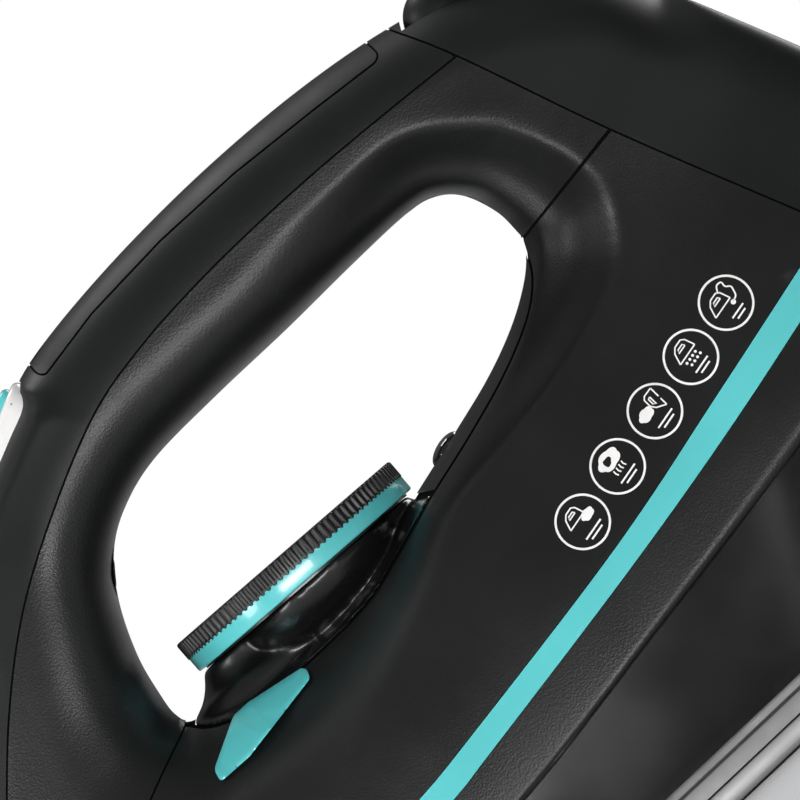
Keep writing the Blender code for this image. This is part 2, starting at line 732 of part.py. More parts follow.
def rear_cover(shell):
    behind = [(113.0, 26.0), (170.0, 26.0), (170.0, 157.0)]
    outline = joined([(58.4, 157.0)], rear_run(148.6, 47.4, SEAM, 11), behind)
    return piece_of(shell, "rear_cover", outline, SATIN_BLACK)


def handle_shells(shell):
    crease = [(67.1, 135.9)] + CREASE[1:]
    front = seam(NOSE_SEAM[2:-1], 12, SEAM)
    inside_rim = [(-54.0, 80.4), (-48.0, 84.0), (-40.0, 88.0), (0.0, 100.0), (46.0, 105.0), (53.4, 103.0)]
    lower = joined(
        front[1:-1], inside_rim,
        rear_run(135.6, 106.7, -SEAM, 4)[::-1], seam(crease, 22, SEAM)[:-1],
    )  # fmt: skip
    low = piece_of(shell, "handle_lower_shell", lower, GRAIN_BLACK)
    top = joined(
        seam(crease, 22, -SEAM)[:-1], [(-127.6, 51.9), (-140.0, 46.9), (-170.0, 36.3), (-170.0, 175.0),
        (50.0, 175.0), (57.6, 157.0)], rear_run(148.6, 136.8, -SEAM, 4),
    )  # fmt: skip
    high = piece_of(shell, "handle_top_cover", top, SATIN_BLACK)
    return low, high


def grip_inlay(shell, cover):
    cut(cover, prism("inlay_slot", grown(INLAY, GAP / 2)))
    return piece_of(shell, "grip_inlay", grown(INLAY, -GAP / 2), RUBBER)


# ---------------------------------------------------------------- deck, dial and lever


def dial_at(height):
    """Point on the dial's axis at a height above its seat."""
    return (DIAL_X + math.sin(DIAL_TILT) * height, 0.0, DIAL_BASE_Z + math.cos(DIAL_TILT) * height)


def control_deck(shell, body):
    above = [(-1.6, 84.4), (-20.0, 92.0), (-46.0, 84.0)]
    outline = joined([(-52.8, 79.0)], seam(DECK_SEAM, 12, SEAM)[1:], above)
    deck = piece_of(shell, "control_deck", outline, GLOSS_BLACK)
    pod = turned("pedestal", None, POD, dial_at(0), DIAL_AXIS, 40, CUTTERS)
    room = [(r + GAP, h) for r, h in POD]
    cut(body, turned("pedestal_room", None, room, dial_at(-GAP), DIAL_AXIS, 40, CUTTERS))
    cut(pod, prism("pedestal_neck", NECK, NECK_HALF), "UNION")
    hollow = envelope("deck_inside", AROUND, ACROSS, WALL)
    cut(pod, hollow)
    cut(deck, pod, "UNION")
    bore = cylinder("shaft_bore", None, SHAFT_R + GAP, dial_at(-30), dial_at(5), 16, CUTTERS)
    cut(deck, bore)
    return named(deck, "control_deck", GLOSS_BLACK)


def deck_trim(shell):
    above = [(52.6, 107.0), (20.0, 100.0), (-0.4, 85.8)]
    outline = joined([(9.0, 80.4)], seam(TRIM_SEAM, 8, SEAM)[1:], above)
    trim = piece_of(shell, "deck_trim", outline, GRAIN_BLACK)
    low, high = lens_line(-8), lens_line(8)
    cut(trim, cylinder("lens_bore", None, LENS_R + GAP, low, high, 20, CUTTERS))
    return named(trim, "deck_trim", GRAIN_BLACK)


def lens_line(height):
    return (LENS_X - math.sin(LENS_TILT) * height, 0.0, LENS_Z + math.cos(LENS_TILT) * height)


def pilot_light():
    profile = [(0, -4.0), (LENS_R, -4.0), (LENS_R, -0.4), (LENS_R * 0.8, 0.9), (LENS_R * 0.4, 1.5), (0, 1.7)]
    axis = (-math.sin(LENS_TILT), 0, math.cos(LENS_TILT))
    turned("pilot_light_lens", GLOSS_BLACK, profile, lens_line(0), axis, 20)
    cylinder("pilot_lamp", CLEAR, 2.4, lens_line(-15), lens_line(-4.6), 12)


def dial():
    """Knurled knob, its coloured ring and the shaft that turns the thermostat."""
    ring_profile = [(SHAFT_R + GAP, 0), (DIAL_RADIUS - 0.4, 0), (DIAL_RADIUS, 0.4), (DIAL_RADIUS, DIAL_RING),
                    (SHAFT_R + GAP, DIAL_RING), (SHAFT_R + GAP, 0)]  # fmt: skip
    turned("dial_ring", TEAL, ring_profile, dial_at(0), DIAL_AXIS, 48)
    ridges = 48
    bm = bmesh.new()
    low, high = DIAL_RING + GAP, DIAL_RING + GAP + DIAL_KNURL
    axis_point = [bm.verts.new((0, 0, h * MM)) for h in (low, high)]
    rings = []
    for h, inset in ((low, 0.0), (high - 0.5, 0.0), (high, 0.8)):
        row = []
        for k in range(ridges * 2):
            r = DIAL_RADIUS - inset - (0.5 if k % 2 else 0.0)
            a = math.pi * k / ridges
            row.append(bm.verts.new((r * math.cos(a) * MM, r * math.sin(a) * MM, h * MM)))
        rings.append(row)
    n = ridges * 2
    for a, b in zip(rings, rings[1:]):
        for k in range(n):
            bm.faces.new((a[k], a[(k + 1) % n], b[(k + 1) % n], b[k]))
    for k in range(n):
        bm.faces.new((rings[0][k], rings[0][(k + 1) % n], axis_point[0]))
        bm.faces.new((rings[-1][k], rings[-1][(k + 1) % n], axis_point[1]))
    knob = mesh_object("dial_knob", bm, SATIN_BLACK)
    knob.location = world(*dial_at(0))
    knob.rotation_mode = "QUATERNION"
    knob.rotation_quaternion = Vector(DIAL_AXIS).to_track_quat("Z", "Y")
    bpy.context.view_layer.update()
    cylinder("thermostat_shaft", BRASS, SHAFT_R, dial_at(-61.6), dial_at(DIAL_RING), 16)


def steam_slider(body):
    """Coloured tab on the body's shoulder, with a leg through a slot to the valve."""
    tab = envelope("tab_outside", AROUND, ACROSS, -2.4)
    place(tab, IRON)
    under = envelope("tab_inside", AROUND, ACROSS, -2 * GAP)
    cut(tab, under)
    cut(tab, prism("tab_region", TAB, -5.0, -90.0), "INTERSECT")
    x = TAB_LEG_X
    leg = block("tab_leg", None, (x, TAB_LEG_Y[0], 62.0), (x + TAB_LEG, TAB_LEG_Y[1], 76.0), CUTTERS)
    cut(leg, envelope("leg_limit", AROUND, ACROSS, -1.8), "INTERSECT")
    cut(tab, leg, "UNION")
    named(tab, "steam_slider", TEAL)
    tab.hide_render = False
    tab.display_type = "TEXTURED"
    room = 2 * GAP
    near, far = TAB_LEG_Y[0] - room, TAB_LEG_Y[1] + room
    slot = box_cutter("tab_slot", (x - room, near, 60.0), (x + TAB_LEG + TAB_TRAVEL + room, far, 82.0))
    cut(body, slot)


def valve():
    cylinder("steam_valve_rod", STEEL, 1.6, (VALVE_X, 0, 18.2), (VALVE_X, 0, 66.0), 12)
    cylinder("steam_valve_seal", SILICONE, 1.2, (VALVE_X, 0, 14.6), (VALVE_X, 0, 17.9), 12, IRON, 2.4)


# ---------------------------------------------------------------- buttons and their pumps


def buttons(cover):
    at = local_frame(BUTTON_SEAT, BUTTON_TILT)
    (front, rear), half, top = BEZEL
    room = (front - GAP, -half - GAP, -12.0), (rear + GAP, half + GAP, 12.0)
    cut(cover, slope_block("bezel_slot", None, at, *room, CUTTERS))
    bezel = slope_block("button_bezel", WHITE, at, (front, -half, -4.4), (rear, half, top), IRON, 1.0)
    (cap_front, cap_rear), cap_top = CAP
    for name, y in (("steam_shot", -PUMP_Y), ("spray", PUMP_Y)):
        side = BUTTON_HALF + GAP
        window = (cap_front - GAP, y - side, -20.0), (cap_rear + GAP, y + side, 20.0)
        cut(bezel, slope_block(name + "_window", None, at, *window, CUTTERS))
        cap = slope_block(name + "_button", TEAL, at, (cap_front, y - BUTTON_HALF, -3.0),
                          (cap_rear, y + BUTTON_HALF, cap_top), IRON, 0.8)  # fmt: skip
        stem = cylinder(name + "_stem", None, 1.4, at(0, y, -13.4), at(0, y, -2.0), 12, CUTTERS)
        cut(cap, stem, "UNION")
        head = cylinder(name + "_piston", None, 2.3, at(0, y, -14.6), at(0, y, -12.8), 12, CUTTERS)
        cut(cap, head, "UNION")
        named(cap, name + "_button", TEAL)
        barrel = cylinder(name + "_pump", CLEAR, 3.6, at(0, y, -19.5), at(0, y, -8.6), 16)
        bore = cylinder(name + "_bore", None, 2.7, at(0, y, -18.2), at(0, y, -10.6), 16, CUTTERS)
        cut(barrel, bore)
        port = cylinder(name + "_port", None, 1.8, at(0, y, -11.6), at(0, y, -7.0), 12, CUTTERS)
        cut(barrel, port)
        outlet = cylinder(name + "_outlet", None, 0.8, at(0, y, -21.0), at(0, y, -17.0), 8, CUTTERS)
        cut(barrel, outlet)
        named(barrel, name + "_pump", CLEAR)
        turns = []
        for k in range(SPRING_STEPS * SPRING_TURNS + 1):
            a = 2 * math.pi * k / SPRING_STEPS
            rise = -8.0 + 4.4 * k / (SPRING_STEPS * SPRING_TURNS)
            turns.append(at(2.4 * math.cos(a), y + 2.4 * math.sin(a), rise))
        tube(name + "_spring", STEEL, turns, 0.3, 0)
    return named(bezel, "button_bezel", WHITE)


# ---------------------------------------------------------------- filler and spray


def filler(shell, cover):
    at = local_frame((FILL_X, FILL_Z), FILL_TILT)
    region = [at(u, 0, n) for u, n in ((-12.0, -9.0), (12.0, -9.0), (12.0, 6.0), (-12.0, 6.0))]
    lid = copy_of(shell, "fill_cap")
    cut(lid, prism("lid_region", [(p[0], p[2]) for p in region], 6.6, -6.6), "INTERSECT")
    hinge = at(HINGE_U, 0, HINGE_N)
    left, right = (hinge[0], -5.0, hinge[2]), (hinge[0], 5.0, hinge[2])
    barrel = cylinder("lid_barrel", None, 1.7, left, right, 12, CUTTERS)
    cut(lid, barrel, "UNION")
    bore = cylinder("lid_bore", None, 1.0, (hinge[0], -8.0, hinge[2]), (hinge[0], 8.0, hinge[2]), 12, CUTTERS)
    cut(lid, bore)
    named(lid, "fill_cap", CLEAR)
    set_origin(lid, hinge)
    cylinder("fill_cap_pin", STEEL, 0.7, (hinge[0], -6.6, hinge[2]), (hinge[0], 6.6, hinge[2]), 10)
    slot = [at(u, 0, n) for u, n in ((-12.4, -9.0), (13.6, -9.0), (13.6, 6.0), (-12.4, 6.0))]
    cut(cover, prism("lid_slot", [(p[0], p[2]) for p in slot], 7.0, -7.0))
    low, high = (-98.0, 0, 63.2), at(-2.5, 0, -8.5)
    neck = cylinder("filler_neck", CLEAR, 6.4, low, high, 20)
    a, b = np.array(low), np.array(high)
    cut(neck, cylinder("neck_bore", None, 5.2, a - (b - a), b + (b - a), 20, CUTTERS))
    named(neck, "filler_neck", CLEAR)


def spray_nozzle(cover):
    at = local_frame(NOZZLE, FILL_TILT)
    cut(cover, cylinder("nozzle_hole", None, 3.3, at(0, 0, -8), at(0, 0, 8), 16, CUTTERS))
    profile = [(0, -7.0), (3.0, -7.0), (3.0, 1.2), (2.4, 2.0), (0.9, 2.0), (0.9, 0.6), (0, 0.6)]
    axis = Vector(at(0, 0, 1)) - Vector(at(0, 0, 0))
    turned("spray_nozzle", WHITE, profile, at(0, 0, 0), axis, 16)


# ---------------------------------------------------------------- soleplate and heating


def soleplate():
    face = slab("soleplate_face", CERAMIC, sole_outline(0, 30), 0.0, FACE_TOP, IRON, 0.9)
    for row, (x0, x1, share) in enumerate(((-112.0, 36.0, 0.6), (-70.0, 10.0, 0.28))):
        for x in np.linspace(x0, x1, 5 - 2 * row):
            at = (x - NOSE_X) / (SOLE_REAR_X - NOSE_X)
            y = float(sole_half_width(at)) * share
            for side in (-1, 1):
                hole = cylinder("steam_hole", None, 1.7, (x, y * side, -1), (x, y * side, 5.5), 8, CUTTERS)
                cut(face, hole)
    named(face, "soleplate_face", CERAMIC)
    casting = slab("soleplate_casting", CAST, sole_outline(0.6, 30), CASTING[0], 7.5, IRON)
    cut(casting, slab("casting_top", None, sole_outline(5.5, 30), 7.0, CASTING[1], CUTTERS), "UNION")
    chamber = slab("chamber", None, clipped(sole_outline(20, 30), -110, 60), 8.4, 14.0, CUTTERS)
    cut(casting, chamber)
    named(casting, "soleplate_casting", CAST)
    cover = slab("steam_chamber_cover", STEEL, clipped(sole_outline(14, 30), -122, 74), *COVER)
    cut(cover, cylinder("valve_port", None, 1.9, (VALVE_X, 0, 10), (VALVE_X, 0, 16), 12, CUTTERS))
    named(cover, "steam_chamber_cover", STEEL)


def clipped(half, x0, x1):
    """Part of a plan half-outline between two places along the iron."""
    p = np.array(half)
    xs = np.concatenate([[x0], p[(p[:, 0] > x0 + 0.5) & (p[:, 0] < x1 - 0.5), 0], [x1]])
    return [(x, float(np.interp(x, p[:, 0], p[:, 1]))) for x in xs]


def heating():
    path = [(66, -22), (20, -27), (-30, -26), (-75, -17), (-97, -6), (-101, 0),
            (-97, 6), (-75, 17), (-30, 26), (20, 27), (66, 22)]  # fmt: skip
    curve = spline(path, 26)
    tube("heating_element", STEEL, [(x, y, 17.9) for x, y in curve], 3.1, 1)
    x = dial_at(-61.6)[0]
    block("thermostat_body", CERAMIC, (x - 9, -9, 14.5), (x + 9, 9, 22.2), IRON, 0.8)
    cylinder("thermal_fuse", WHITE, 2.4, (24, -8, 17.0), (24, 8, 17.0), 14)
    shield = slab("heat_shield", STEEL, clipped(sole_outline(10, 30), -128, 92), *SHIELD)
    cut(shield, cylinder("shield_shaft", None, 4.2, dial_at(-64), dial_at(-50), 16, CUTTERS))
    cut(shield, cylinder("shield_rod", None, 2.6, (VALVE_X, 0, 20), (VALVE_X, 0, 32), 12, CUTTERS))
    named(shield, "heat_shield", STEEL)


def tank():
    outline = clipped(sole_outline(13, 30), -114, -34)
    made = slab("water_tank", CLEAR, outline, *TANK, IRON, 1.5)
    inside = clipped(sole_outline(14.8, 30), -111.6, -35.8)
    cut(made, slab("tank_inside", None, inside, TANK[0] + 1.8, TANK[1] - 1.8, CUTTERS))
    cut(made, cylinder("tank_neck", None, 5.4, (-98, 0, 50), (-98, 0, 70), 20, CUTTERS))
    cut(made, cylinder("tank_rod", None, 2.6, (VALVE_X, 0, 25), (VALVE_X, 0, 66), 12, CUTTERS))
    named(made, "water_tank", CLEAR)


def skirt():
    """Flared glossy band between the soleplate and the body."""
    low = np.array(sole_outline(-0.9, 26))
    low[:, 0] += 5.0 * np.exp(-(low[:, 0] - low[0, 0]) / 12.0)
    n = len(low)
    lower_edge = spline(LOWER, 200)
    shares = (low[:, 0] - low[0, 0]) / (low[-1, 0] - low[0, 0])
    x = SKIRT_NOSE + (SKIRT_REAR - SKIRT_NOSE) * shares
    z = np.interp(x, lower_edge[:, 0], lower_edge[:, 1])
    close = (1 - np.clip((x - 46) / (SKIRT_REAR - 46), 0, 1) ** 2.7) ** 0.5
    inset = SKIRT_INSET + 1.3 * np.exp(-(x - x[0]) / 25.0)
    y = -np.maximum(half_width(x, z) - inset, 0) * (0.02 + 0.98 * close)
    y[-1] = 0
    y[0] = 0
    z = z + np.interp(x, [50, 62], [1.0, 0.3])
    rings = []
    for f in (0.0, 0.34, 0.68, 1.0):
        bulge = f**0.9
        px = low[:, 0] + (x - low[:, 0]) * f
        py = low[:, 1] + (y - low[:, 1]) * bulge
        pz = SKIRT_BOTTOM + (z - SKIRT_BOTTOM) * f
        rings.append(np.stack([px, py, pz], 1))
    half = np.array(rings)
    other = half[:, ::-1] * np.array([1, -1, 1])
    loop = np.concatenate([half, other[:, 1:-1]], 1).transpose(1, 0, 2)
    obj = mesh_object("skirt", grid_mesh(loop, close_u=True), GLOSS_BLACK)
    outward(obj)
    mod = obj.modifiers.new("wall", "SOLIDIFY")
    mod.thickness = 1.8 * MM
    mod.offset = -1
    return baked(obj)


# ---------------------------------------------------------------- heel


def heel(rear):
    inside = envelope("heel_inside", AROUND, ACROSS, WALL + 2 * GAP)
    outline = [(66.0, 42.2), (78.0, 44.2), (106.0, 48.2), (130.4, 50.2), (129.4, 52.2), (106.0, 50.2),
               (78.0, 46.2), (66.0, 44.2)]  # fmt: skip
    piece_of(inside, "heel_base", outline, SATIN_BLACK)
    cut(rear, swivel_slot())
    at = local_frame(BACK_FOOT, math.radians(90) + math.atan(BACK_SLOPE))
    u = 34.0
    hole = cylinder("screw_hole", None, 4.4, at(u, 0, 9), at(u, 0, -9), 20, CUTTERS)
    cut(rear, hole)
    shank, head = 1.6, 3.9
    profile = [(0, 1.0), (shank, 1.0), (shank, 16.0), (head, 16.0), (head, 18.4), (shank, 18.4),
               (1.2, 17.2), (0, 17.2)]  # fmt: skip
    outward_axis = Vector((math.cos(math.atan(BACK_SLOPE)), 0, math.sin(math.atan(BACK_SLOPE))))
    start = at(u, 0, 19.0)
    turned("rear_cover_screw", STEEL, profile, start, outward_axis, 16)
    block("terminal_block", WHITE, (84, -11, 84), (97, 11, 104), IRON, 0.6)
    block("cord_clamp", SATIN_BLACK, (84, -9, 112), (92, 9, 118), IRON, 0.6)
    for name, y in (("lead_live", -6.0), ("lead_earth", 0.0), ("lead_neutral", 6.0)):
        path = spline([(83.0, y, 94.0), (74.0, y * 0.9, 88.0), (62.0, y * 0.9, 66.0), (56.0, y, 34.0)], 10)
        tube(name, WIRE, [tuple(p) for p in path], 1.1, 1)


def swivel_slot():
    """Room for the cord gland at every angle it leans to."""
    centre = np.array(SWIVEL)
    room = SWIVEL_R + 0.7
    low, high = SWIVEL_AXIS - SWIVEL_LEAN, SWIVEL_AXIS + SWIVEL_LEAN
    turns = np.linspace(high + math.pi / 2, low + 1.5 * math.pi, 7)
    outline = [tuple(centre + room * np.array([math.cos(a), math.sin(a)])) for a in turns]
    for angle, end in ((low, outline[-1]), (high, outline[0])):
        outline.append(tuple(np.array(end) + 34.0 * np.array([math.cos(angle), math.sin(angle)])))
    return prism("swivel_slot", outline, room)


def cord_swivel():
    r = SWIVEL_R
    ball = [(r * math.sin(a), -r * math.cos(a)) for a in np.linspace(math.radians(37), math.radians(125), 6)]
    inner = [(CORD_R, GLAND_LENGTH), (CORD_R, ball[0][1])]
    outer = [(r * 0.86, 8.0), (r * 0.8, 20.0), (r * 0.66, GLAND_LENGTH)]
    profile = [(CORD_R, ball[0][1])] + ball + outer + inner
    axis = (math.cos(SWIVEL_AXIS), 0, math.sin(SWIVEL_AXIS))
    turned("cord_swivel", SATIN_BLACK, profile, (SWIVEL[0], 0, SWIVEL[1]), axis, 24)


# ---------------------------------------------------------------- build


def build():
    shell = outer_shell()
    body = body_shell(shell)
    stripes(shell, body)
    rear = rear_cover(shell)
    _, cover = handle_shells(shell)
    grip_inlay(shell, cover)
    control_deck(shell, body)
    deck_trim(shell)
    pilot_light()
    dial()
    steam_slider(body)
    valve()
    buttons(cover)
    filler(shell, cover)
    spray_nozzle(cover)
    soleplate()
    heating()
    tank()
    skirt()
    heel(rear)
    cord_swivel()
    named(body, "body_shell", GRAIN_BLACK)
    named(rear, "rear_cover", SATIN_BLACK)
    named(cover, "handle_top_cover", SATIN_BLACK)


build()
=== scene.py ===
"""Looks of the steam iron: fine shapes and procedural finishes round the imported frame."""

import json
import math

import bmesh
import bpy
import numpy as np
from mathutils import Matrix, Vector

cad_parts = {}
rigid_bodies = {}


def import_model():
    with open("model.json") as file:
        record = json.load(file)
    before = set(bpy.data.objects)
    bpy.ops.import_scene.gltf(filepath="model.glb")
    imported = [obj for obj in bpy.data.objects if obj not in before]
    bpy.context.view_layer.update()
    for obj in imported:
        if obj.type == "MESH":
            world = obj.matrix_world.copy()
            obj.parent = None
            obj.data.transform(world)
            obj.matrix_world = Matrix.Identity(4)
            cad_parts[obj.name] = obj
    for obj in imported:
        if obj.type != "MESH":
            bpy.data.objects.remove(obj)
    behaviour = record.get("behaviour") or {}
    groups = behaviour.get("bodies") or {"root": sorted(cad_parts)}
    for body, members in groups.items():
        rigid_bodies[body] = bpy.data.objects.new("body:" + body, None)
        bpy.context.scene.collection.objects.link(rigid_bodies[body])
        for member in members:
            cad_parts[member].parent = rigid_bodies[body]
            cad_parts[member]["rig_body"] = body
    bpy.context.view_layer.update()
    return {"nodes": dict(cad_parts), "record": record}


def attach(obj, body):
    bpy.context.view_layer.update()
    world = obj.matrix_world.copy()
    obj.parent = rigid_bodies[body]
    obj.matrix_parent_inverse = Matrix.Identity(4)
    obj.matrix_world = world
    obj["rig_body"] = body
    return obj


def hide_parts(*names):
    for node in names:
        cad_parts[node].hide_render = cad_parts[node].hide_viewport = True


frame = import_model()
SLOTS = {part["node"]: part["material_slot"] for part in frame["record"]["subparts"]}

MM = 0.001
DATUM_X = 7.2
AROUND = 26 * 12 + 1
ACROSS = 60
SKIN = 0.6  # visible shell's wall
LINER = (0.3, 2.0)  # joint tongues behind it, as depths
DECK_WALL = 2.4
FAR = 90.0  # past either side of the iron
SEAM = 0.2
SAFE = 0.9975  # keeps the fine surface inside the coarse one's box

HALF_WIDTH = 58.0
WIDEST_X = 20.0
NOSE_FOOT = (-147.3, 19.0)
NOSE_SLOPE = 0.37
NOSE_POWERS = (2.1, 0.68)
HEEL_TUCK, HEEL_RUN = 0.13, 115.0
TOP_POWER = 2.1
RIM_FLOW, RIM_FLOW_RUN = 6.0, 50.0  # where the rim's round edge turns into the ogee
BACK_WIDTH, BACK_ROUND = 0.72, 13.0
LOWER_ROLL = ([-150, 0, 40, 75, 150], [0.9, 1.2, 2.0, 3.0, 3.0])
DIAL_X = -19.6
DIAL_TILT = math.radians(2.4)
DIAL_AXIS = (math.sin(DIAL_TILT), 0.0, math.cos(DIAL_TILT))
DIAL_BASE_Z = 84.2
DIAL_RADIUS = 26.2
SHAFT_R = 2.6
RIDGES = 108
KNURL = 0.34
# Heights below the dial; the bowl's half length and half width; the neck's front, rear and half width
BOWL = [
    (-0.3, 18.0, 25.0), (-2.0, 18.6, 24.8), (-4.5, 18.0, 23.8), (-7.0, 15.8, 21.6), (-9.2, 12.2, 18.0),
    (-10.8, 6.5, 11.0),
]
BOWL_SHIFT = 1.8
NECK = [
    (-0.45, -25.6, 25.0, 13.0), (-1.8, -26.4, 24.6, 12.6), (-3.4, -27.8, 24.4, 12.6),
    (-4.9, -29.6, 24.4, 13.2), (-6.0, -32.0, 24.0, 14.4), (-8.0, -33.0, 22.0, 15.4),
    (-14.0, -32.0, 18.0, 16.0),
]
BOWL_POWER, NECK_POWER = 0.85, 0.6
DECK_VOXEL, DECK_PASSES = ((0.42, 36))
KNOB_TOP = 6.65
FACE_DROP = 0.8  # sunk middle of the knob's face
MARK_R, MARK_DOT_R, MARK_DOT = 18.9, 15.6, 0.62
MARK_START, MARK_END, MARK_STEPS = math.radians(150), math.radians(-110), 60
LENS_X, LENS_Z = 16.1, 84.1
LENS_R = 3.8
LENS_TILT = math.radians(15.0)
TAB_LEG_X = -49.0
TAB_LEG = 4.0
TAB_TRAVEL = 8.0
TAB_WAY = (math.cos(math.radians(5.0)), math.sin(math.radians(5.0)))
TAB_RIDGE, TAB_MIDDLE_Z = -44.5, 72.0
TAB_HEIGHT, TAB_FRONT_RISE, TAB_REAR_FALL = 3.5, 0.235, 0.195
TAB_CLEAR, TAB_THINNEST = 0.45, 0.8
BUTTON_SEAT = (-47.3, 139.9)
BUTTON_TILT = math.radians(26.0)
BEZEL_MIDDLE, BEZEL_U, BEZEL_Y = 0.25, 15.75, 8.5
CAP_MIDDLE, CAP_U, CAP_Y = 0.6, 13.5, 3.1
PUMP_Y = 3.95
FILLER_SEAT = (-93.5, 105.4)
FILLER_TILT = math.radians(46.5)
HINGE_U, HINGE_N = 10.6, -1.9
NOZZLE_SEAT = (-116.0, 80.2)
NOZZLE_R = 3.0
GLAND_PIVOT = (70.6, 143.4)
GLAND_AXIS = math.radians(41.0)
GLAND_LEAN = math.radians(16.0)
GLAND_R = 7.0
GLAND_LENGTH = 26.0
CORD_R = 3.4
SCREW_U, SCREW_R = 34.0, 4.4
SOLE_NOSE_X, SOLE_REAR_X = -149.0, 101.0
SOLE_WIDEST = 0.66
SOLE_HALF = 54.2
FACE_TOP = 4.0
SKIRT_BOTTOM = 9.6
SKIRT_NOSE, SKIRT_REAR = -139.5, 114.0
SKIRT_INSET, SKIRT_WALL = 4.1, 1.6
BADGE_R = 5.0
BADGE_LINE = 0.42
BADGE_TILT = math.radians(12.0)
BADGES = [
    ("steam_burst", (25.3, 57.2)), ("steady_steam", (37.0, 60.2)), ("upright_steam", (49.0, 62.9)),
    ("rinse", (60.7, 65.6)), ("long_cord", (72.3, 68.4)),
]
BACK_SLOPE = 0.432
BACK_FOOT = (135.3, 47.0)
BACK_LEAN = math.atan(BACK_SLOPE)

# ---- outlines, (x, z) in millimetres

RIM = [
    (53.6, 103), (53.4, 108), (52, 114.5), (47.5, 119.4), (42, 121), (30, 121.1),
    (10, 120.7), (-10, 120.7), (-24, 120.1), (-36, 116.6), (-44.5, 110.2), (-50, 100.2),
    (-53.3, 91), (-54.4, 84), (-54, 80),
]
FLOOR = [
    (-50, 79.3), (-36, 77.5), (-22, 77), (-6, 78.6), (8, 82.2), (20, 85.3),
    (31, 88.4), (40, 92), (47, 96), (51.5, 99.8), (53.6, 103),
]
CREASE = [
    (67.6, 135.7), (52, 137.1), (36, 138.1), (20, 138.5), (4, 138.2), (-12, 136.8),
    (-27, 133.6), (-45, 125.6), (-62, 115.8), (-78, 102.6), (-95, 85), (-113, 66.5),
    (-127.5, 51.5),
]
TOP = [
    (61.6, 148.6), (48, 150.9), (34, 152.1), (20, 152.8), (8, 152.7), (-8, 151.9),
    (-22, 150.2), (-33.5, 147.6), (-36.5, 144.6), (-43, 141.8), (-56, 136), (-70, 127.5),
    (-84, 115.5), (-100, 98.5), (-117, 79), (-133, 57.5),
]
FRONT_SEAM = [(-54, 80), (-68.2, 74.4), (-85, 66.5), (-105, 58.5), (-127.5, 51.5)]
LOWER = [
    (-147, 19), (-143, 19.2), (-128, 20), (-105, 21.4), (-80, 23), (-50, 25),
    (-20, 27.4), (0, 30), (20, 33.2), (41, 36.4), (60, 39.4), (78, 42.6),
    (92, 44.7), (106, 46.6), (126, 48),
]
REAR_SEAM = [(61.8, 148.6), (67.8, 135.6), (79, 106.2), (94, 71), (103.8, 47.6)]
REAR_TOP = [(61.8, 148.6), (72, 146.2), (83, 141.6), (93, 135), (100, 127.6), (104.2, 119.6)]
DECK_SEAM = [
    (-54.4, 79.8), (-51, 76.4), (-44, 73.8), (-34, 72.9), (-24, 72.7), (-13, 73.4),
    (-4, 75.8), (8.2, 79.6),
]
TRIM_SEAM = [(8.2, 79.6), (22, 83.2), (34, 87), (44, 91.6), (50, 96.6), (53.2, 102.6)]
STRIPE_TOP = [(-132, 35.6), (-90, 36.4), (-60, 38), (-32.3, 40.6), (-18.2, 42.4), (26.2, 49.6),
              (60, 57.4), (95.2, 65.9)]
STRIPE_LOW = [(-134, 33.4), (-90, 32.2), (-60, 33.4), (-27.7, 36.2), (-18.2, 37.6), (26.2, 45),
              (60, 51.8), (97.2, 60.8)]
INLAY = [
    (-29.6, 158), (-29.6, 146.4), (-28.6, 145.2), (-14.5, 147.6), (4, 148.7), (22.5, 148.4),
    (41, 146.9), (56, 145.4), (57.4, 146.2), (56.9, 158),
]
NOSE_SEAM = [(-170, 36), (-140, 46.6)] + FRONT_SEAM[:0:-1] + [(-54, 80), (-46, 83)]
STATIONS = [
    ((53.6, 103.5), (110.9, 103.5)), ((53.4, 109.5), (104.6, 118)), ((51, 116), (95, 133.4)),
    ((47, 119.6), (79, 143.6)), ((41, 121), (61.8, 148.6)), ((28, 121.1), (42, 151.6)),
    ((10, 120.7), (20, 152.8)), ((-8, 120.7), (-2, 152.3)), ((-24, 120.1), (-22, 150.3)),
    ((-34, 117.5), (-34.2, 147.4)), ((-41.5, 113), (-43, 141.8)), ((-47.5, 105.4), (-62, 132.6)),
    ((-52, 95.5), (-84, 115.5)), ((-54, 87), (-108, 89.6)), ((-54.4, 82.6), (-133, 57.5)),
    ((-53, 80), (-147.3, 19)), ((-47, 78.8), (-128, 20)), ((-36, 77.5), (-90, 22.4)),
    ((-22, 77), (-50, 25)), ((-6, 78.6), (-14, 28)), ((8, 82.2), (20, 33.2)),
    ((20, 85.3), (50, 37.8)), ((31, 88.4), (78, 42.6)), ((40, 92), (106, 46.6)),
    ((47, 96), (134.6, 48.6)), ((51.5, 99.8), (120.8, 80.6)), ((53.6, 103.5), (110.9, 103.5)),
]
FIRST_LOWER = 15
LAST_LOWER = 24
FOOT_DROP = 5

TAB = [
    (-56.4, 67.9), (-55.8, 70.4), (-46.4, 75.2), (-42.8, 75.1), (-31.2, 73), (-30.6, 72.2), (-31.2, 70.5),
    (-49.2, 67.7),
]

TAPER_Z = [0, 20, 30, 45, 60, 73, 90, 105, 120, 137, 160]
TAPER = [1, 1, 0.985, 0.93, 0.82, 0.665, 0.535, 0.455, 0.375, 0.295, 0.25]
# Distance from the hand opening's rim over which the side swells out, round the rim from 0 to 1
RIM_REACH = (
    [-0.05, 0, 0.03, 0.06, 0.1, 0.2, 0.45, 0.6, 0.72, 0.8, 0.88, 0.95, 1, 1.03],
    [13, 17.7, 16.2, 13.2, 12.6, 14.5, 17, 26, 14, 8.6, 9.8, 13.4, 17.7, 16.2],
)
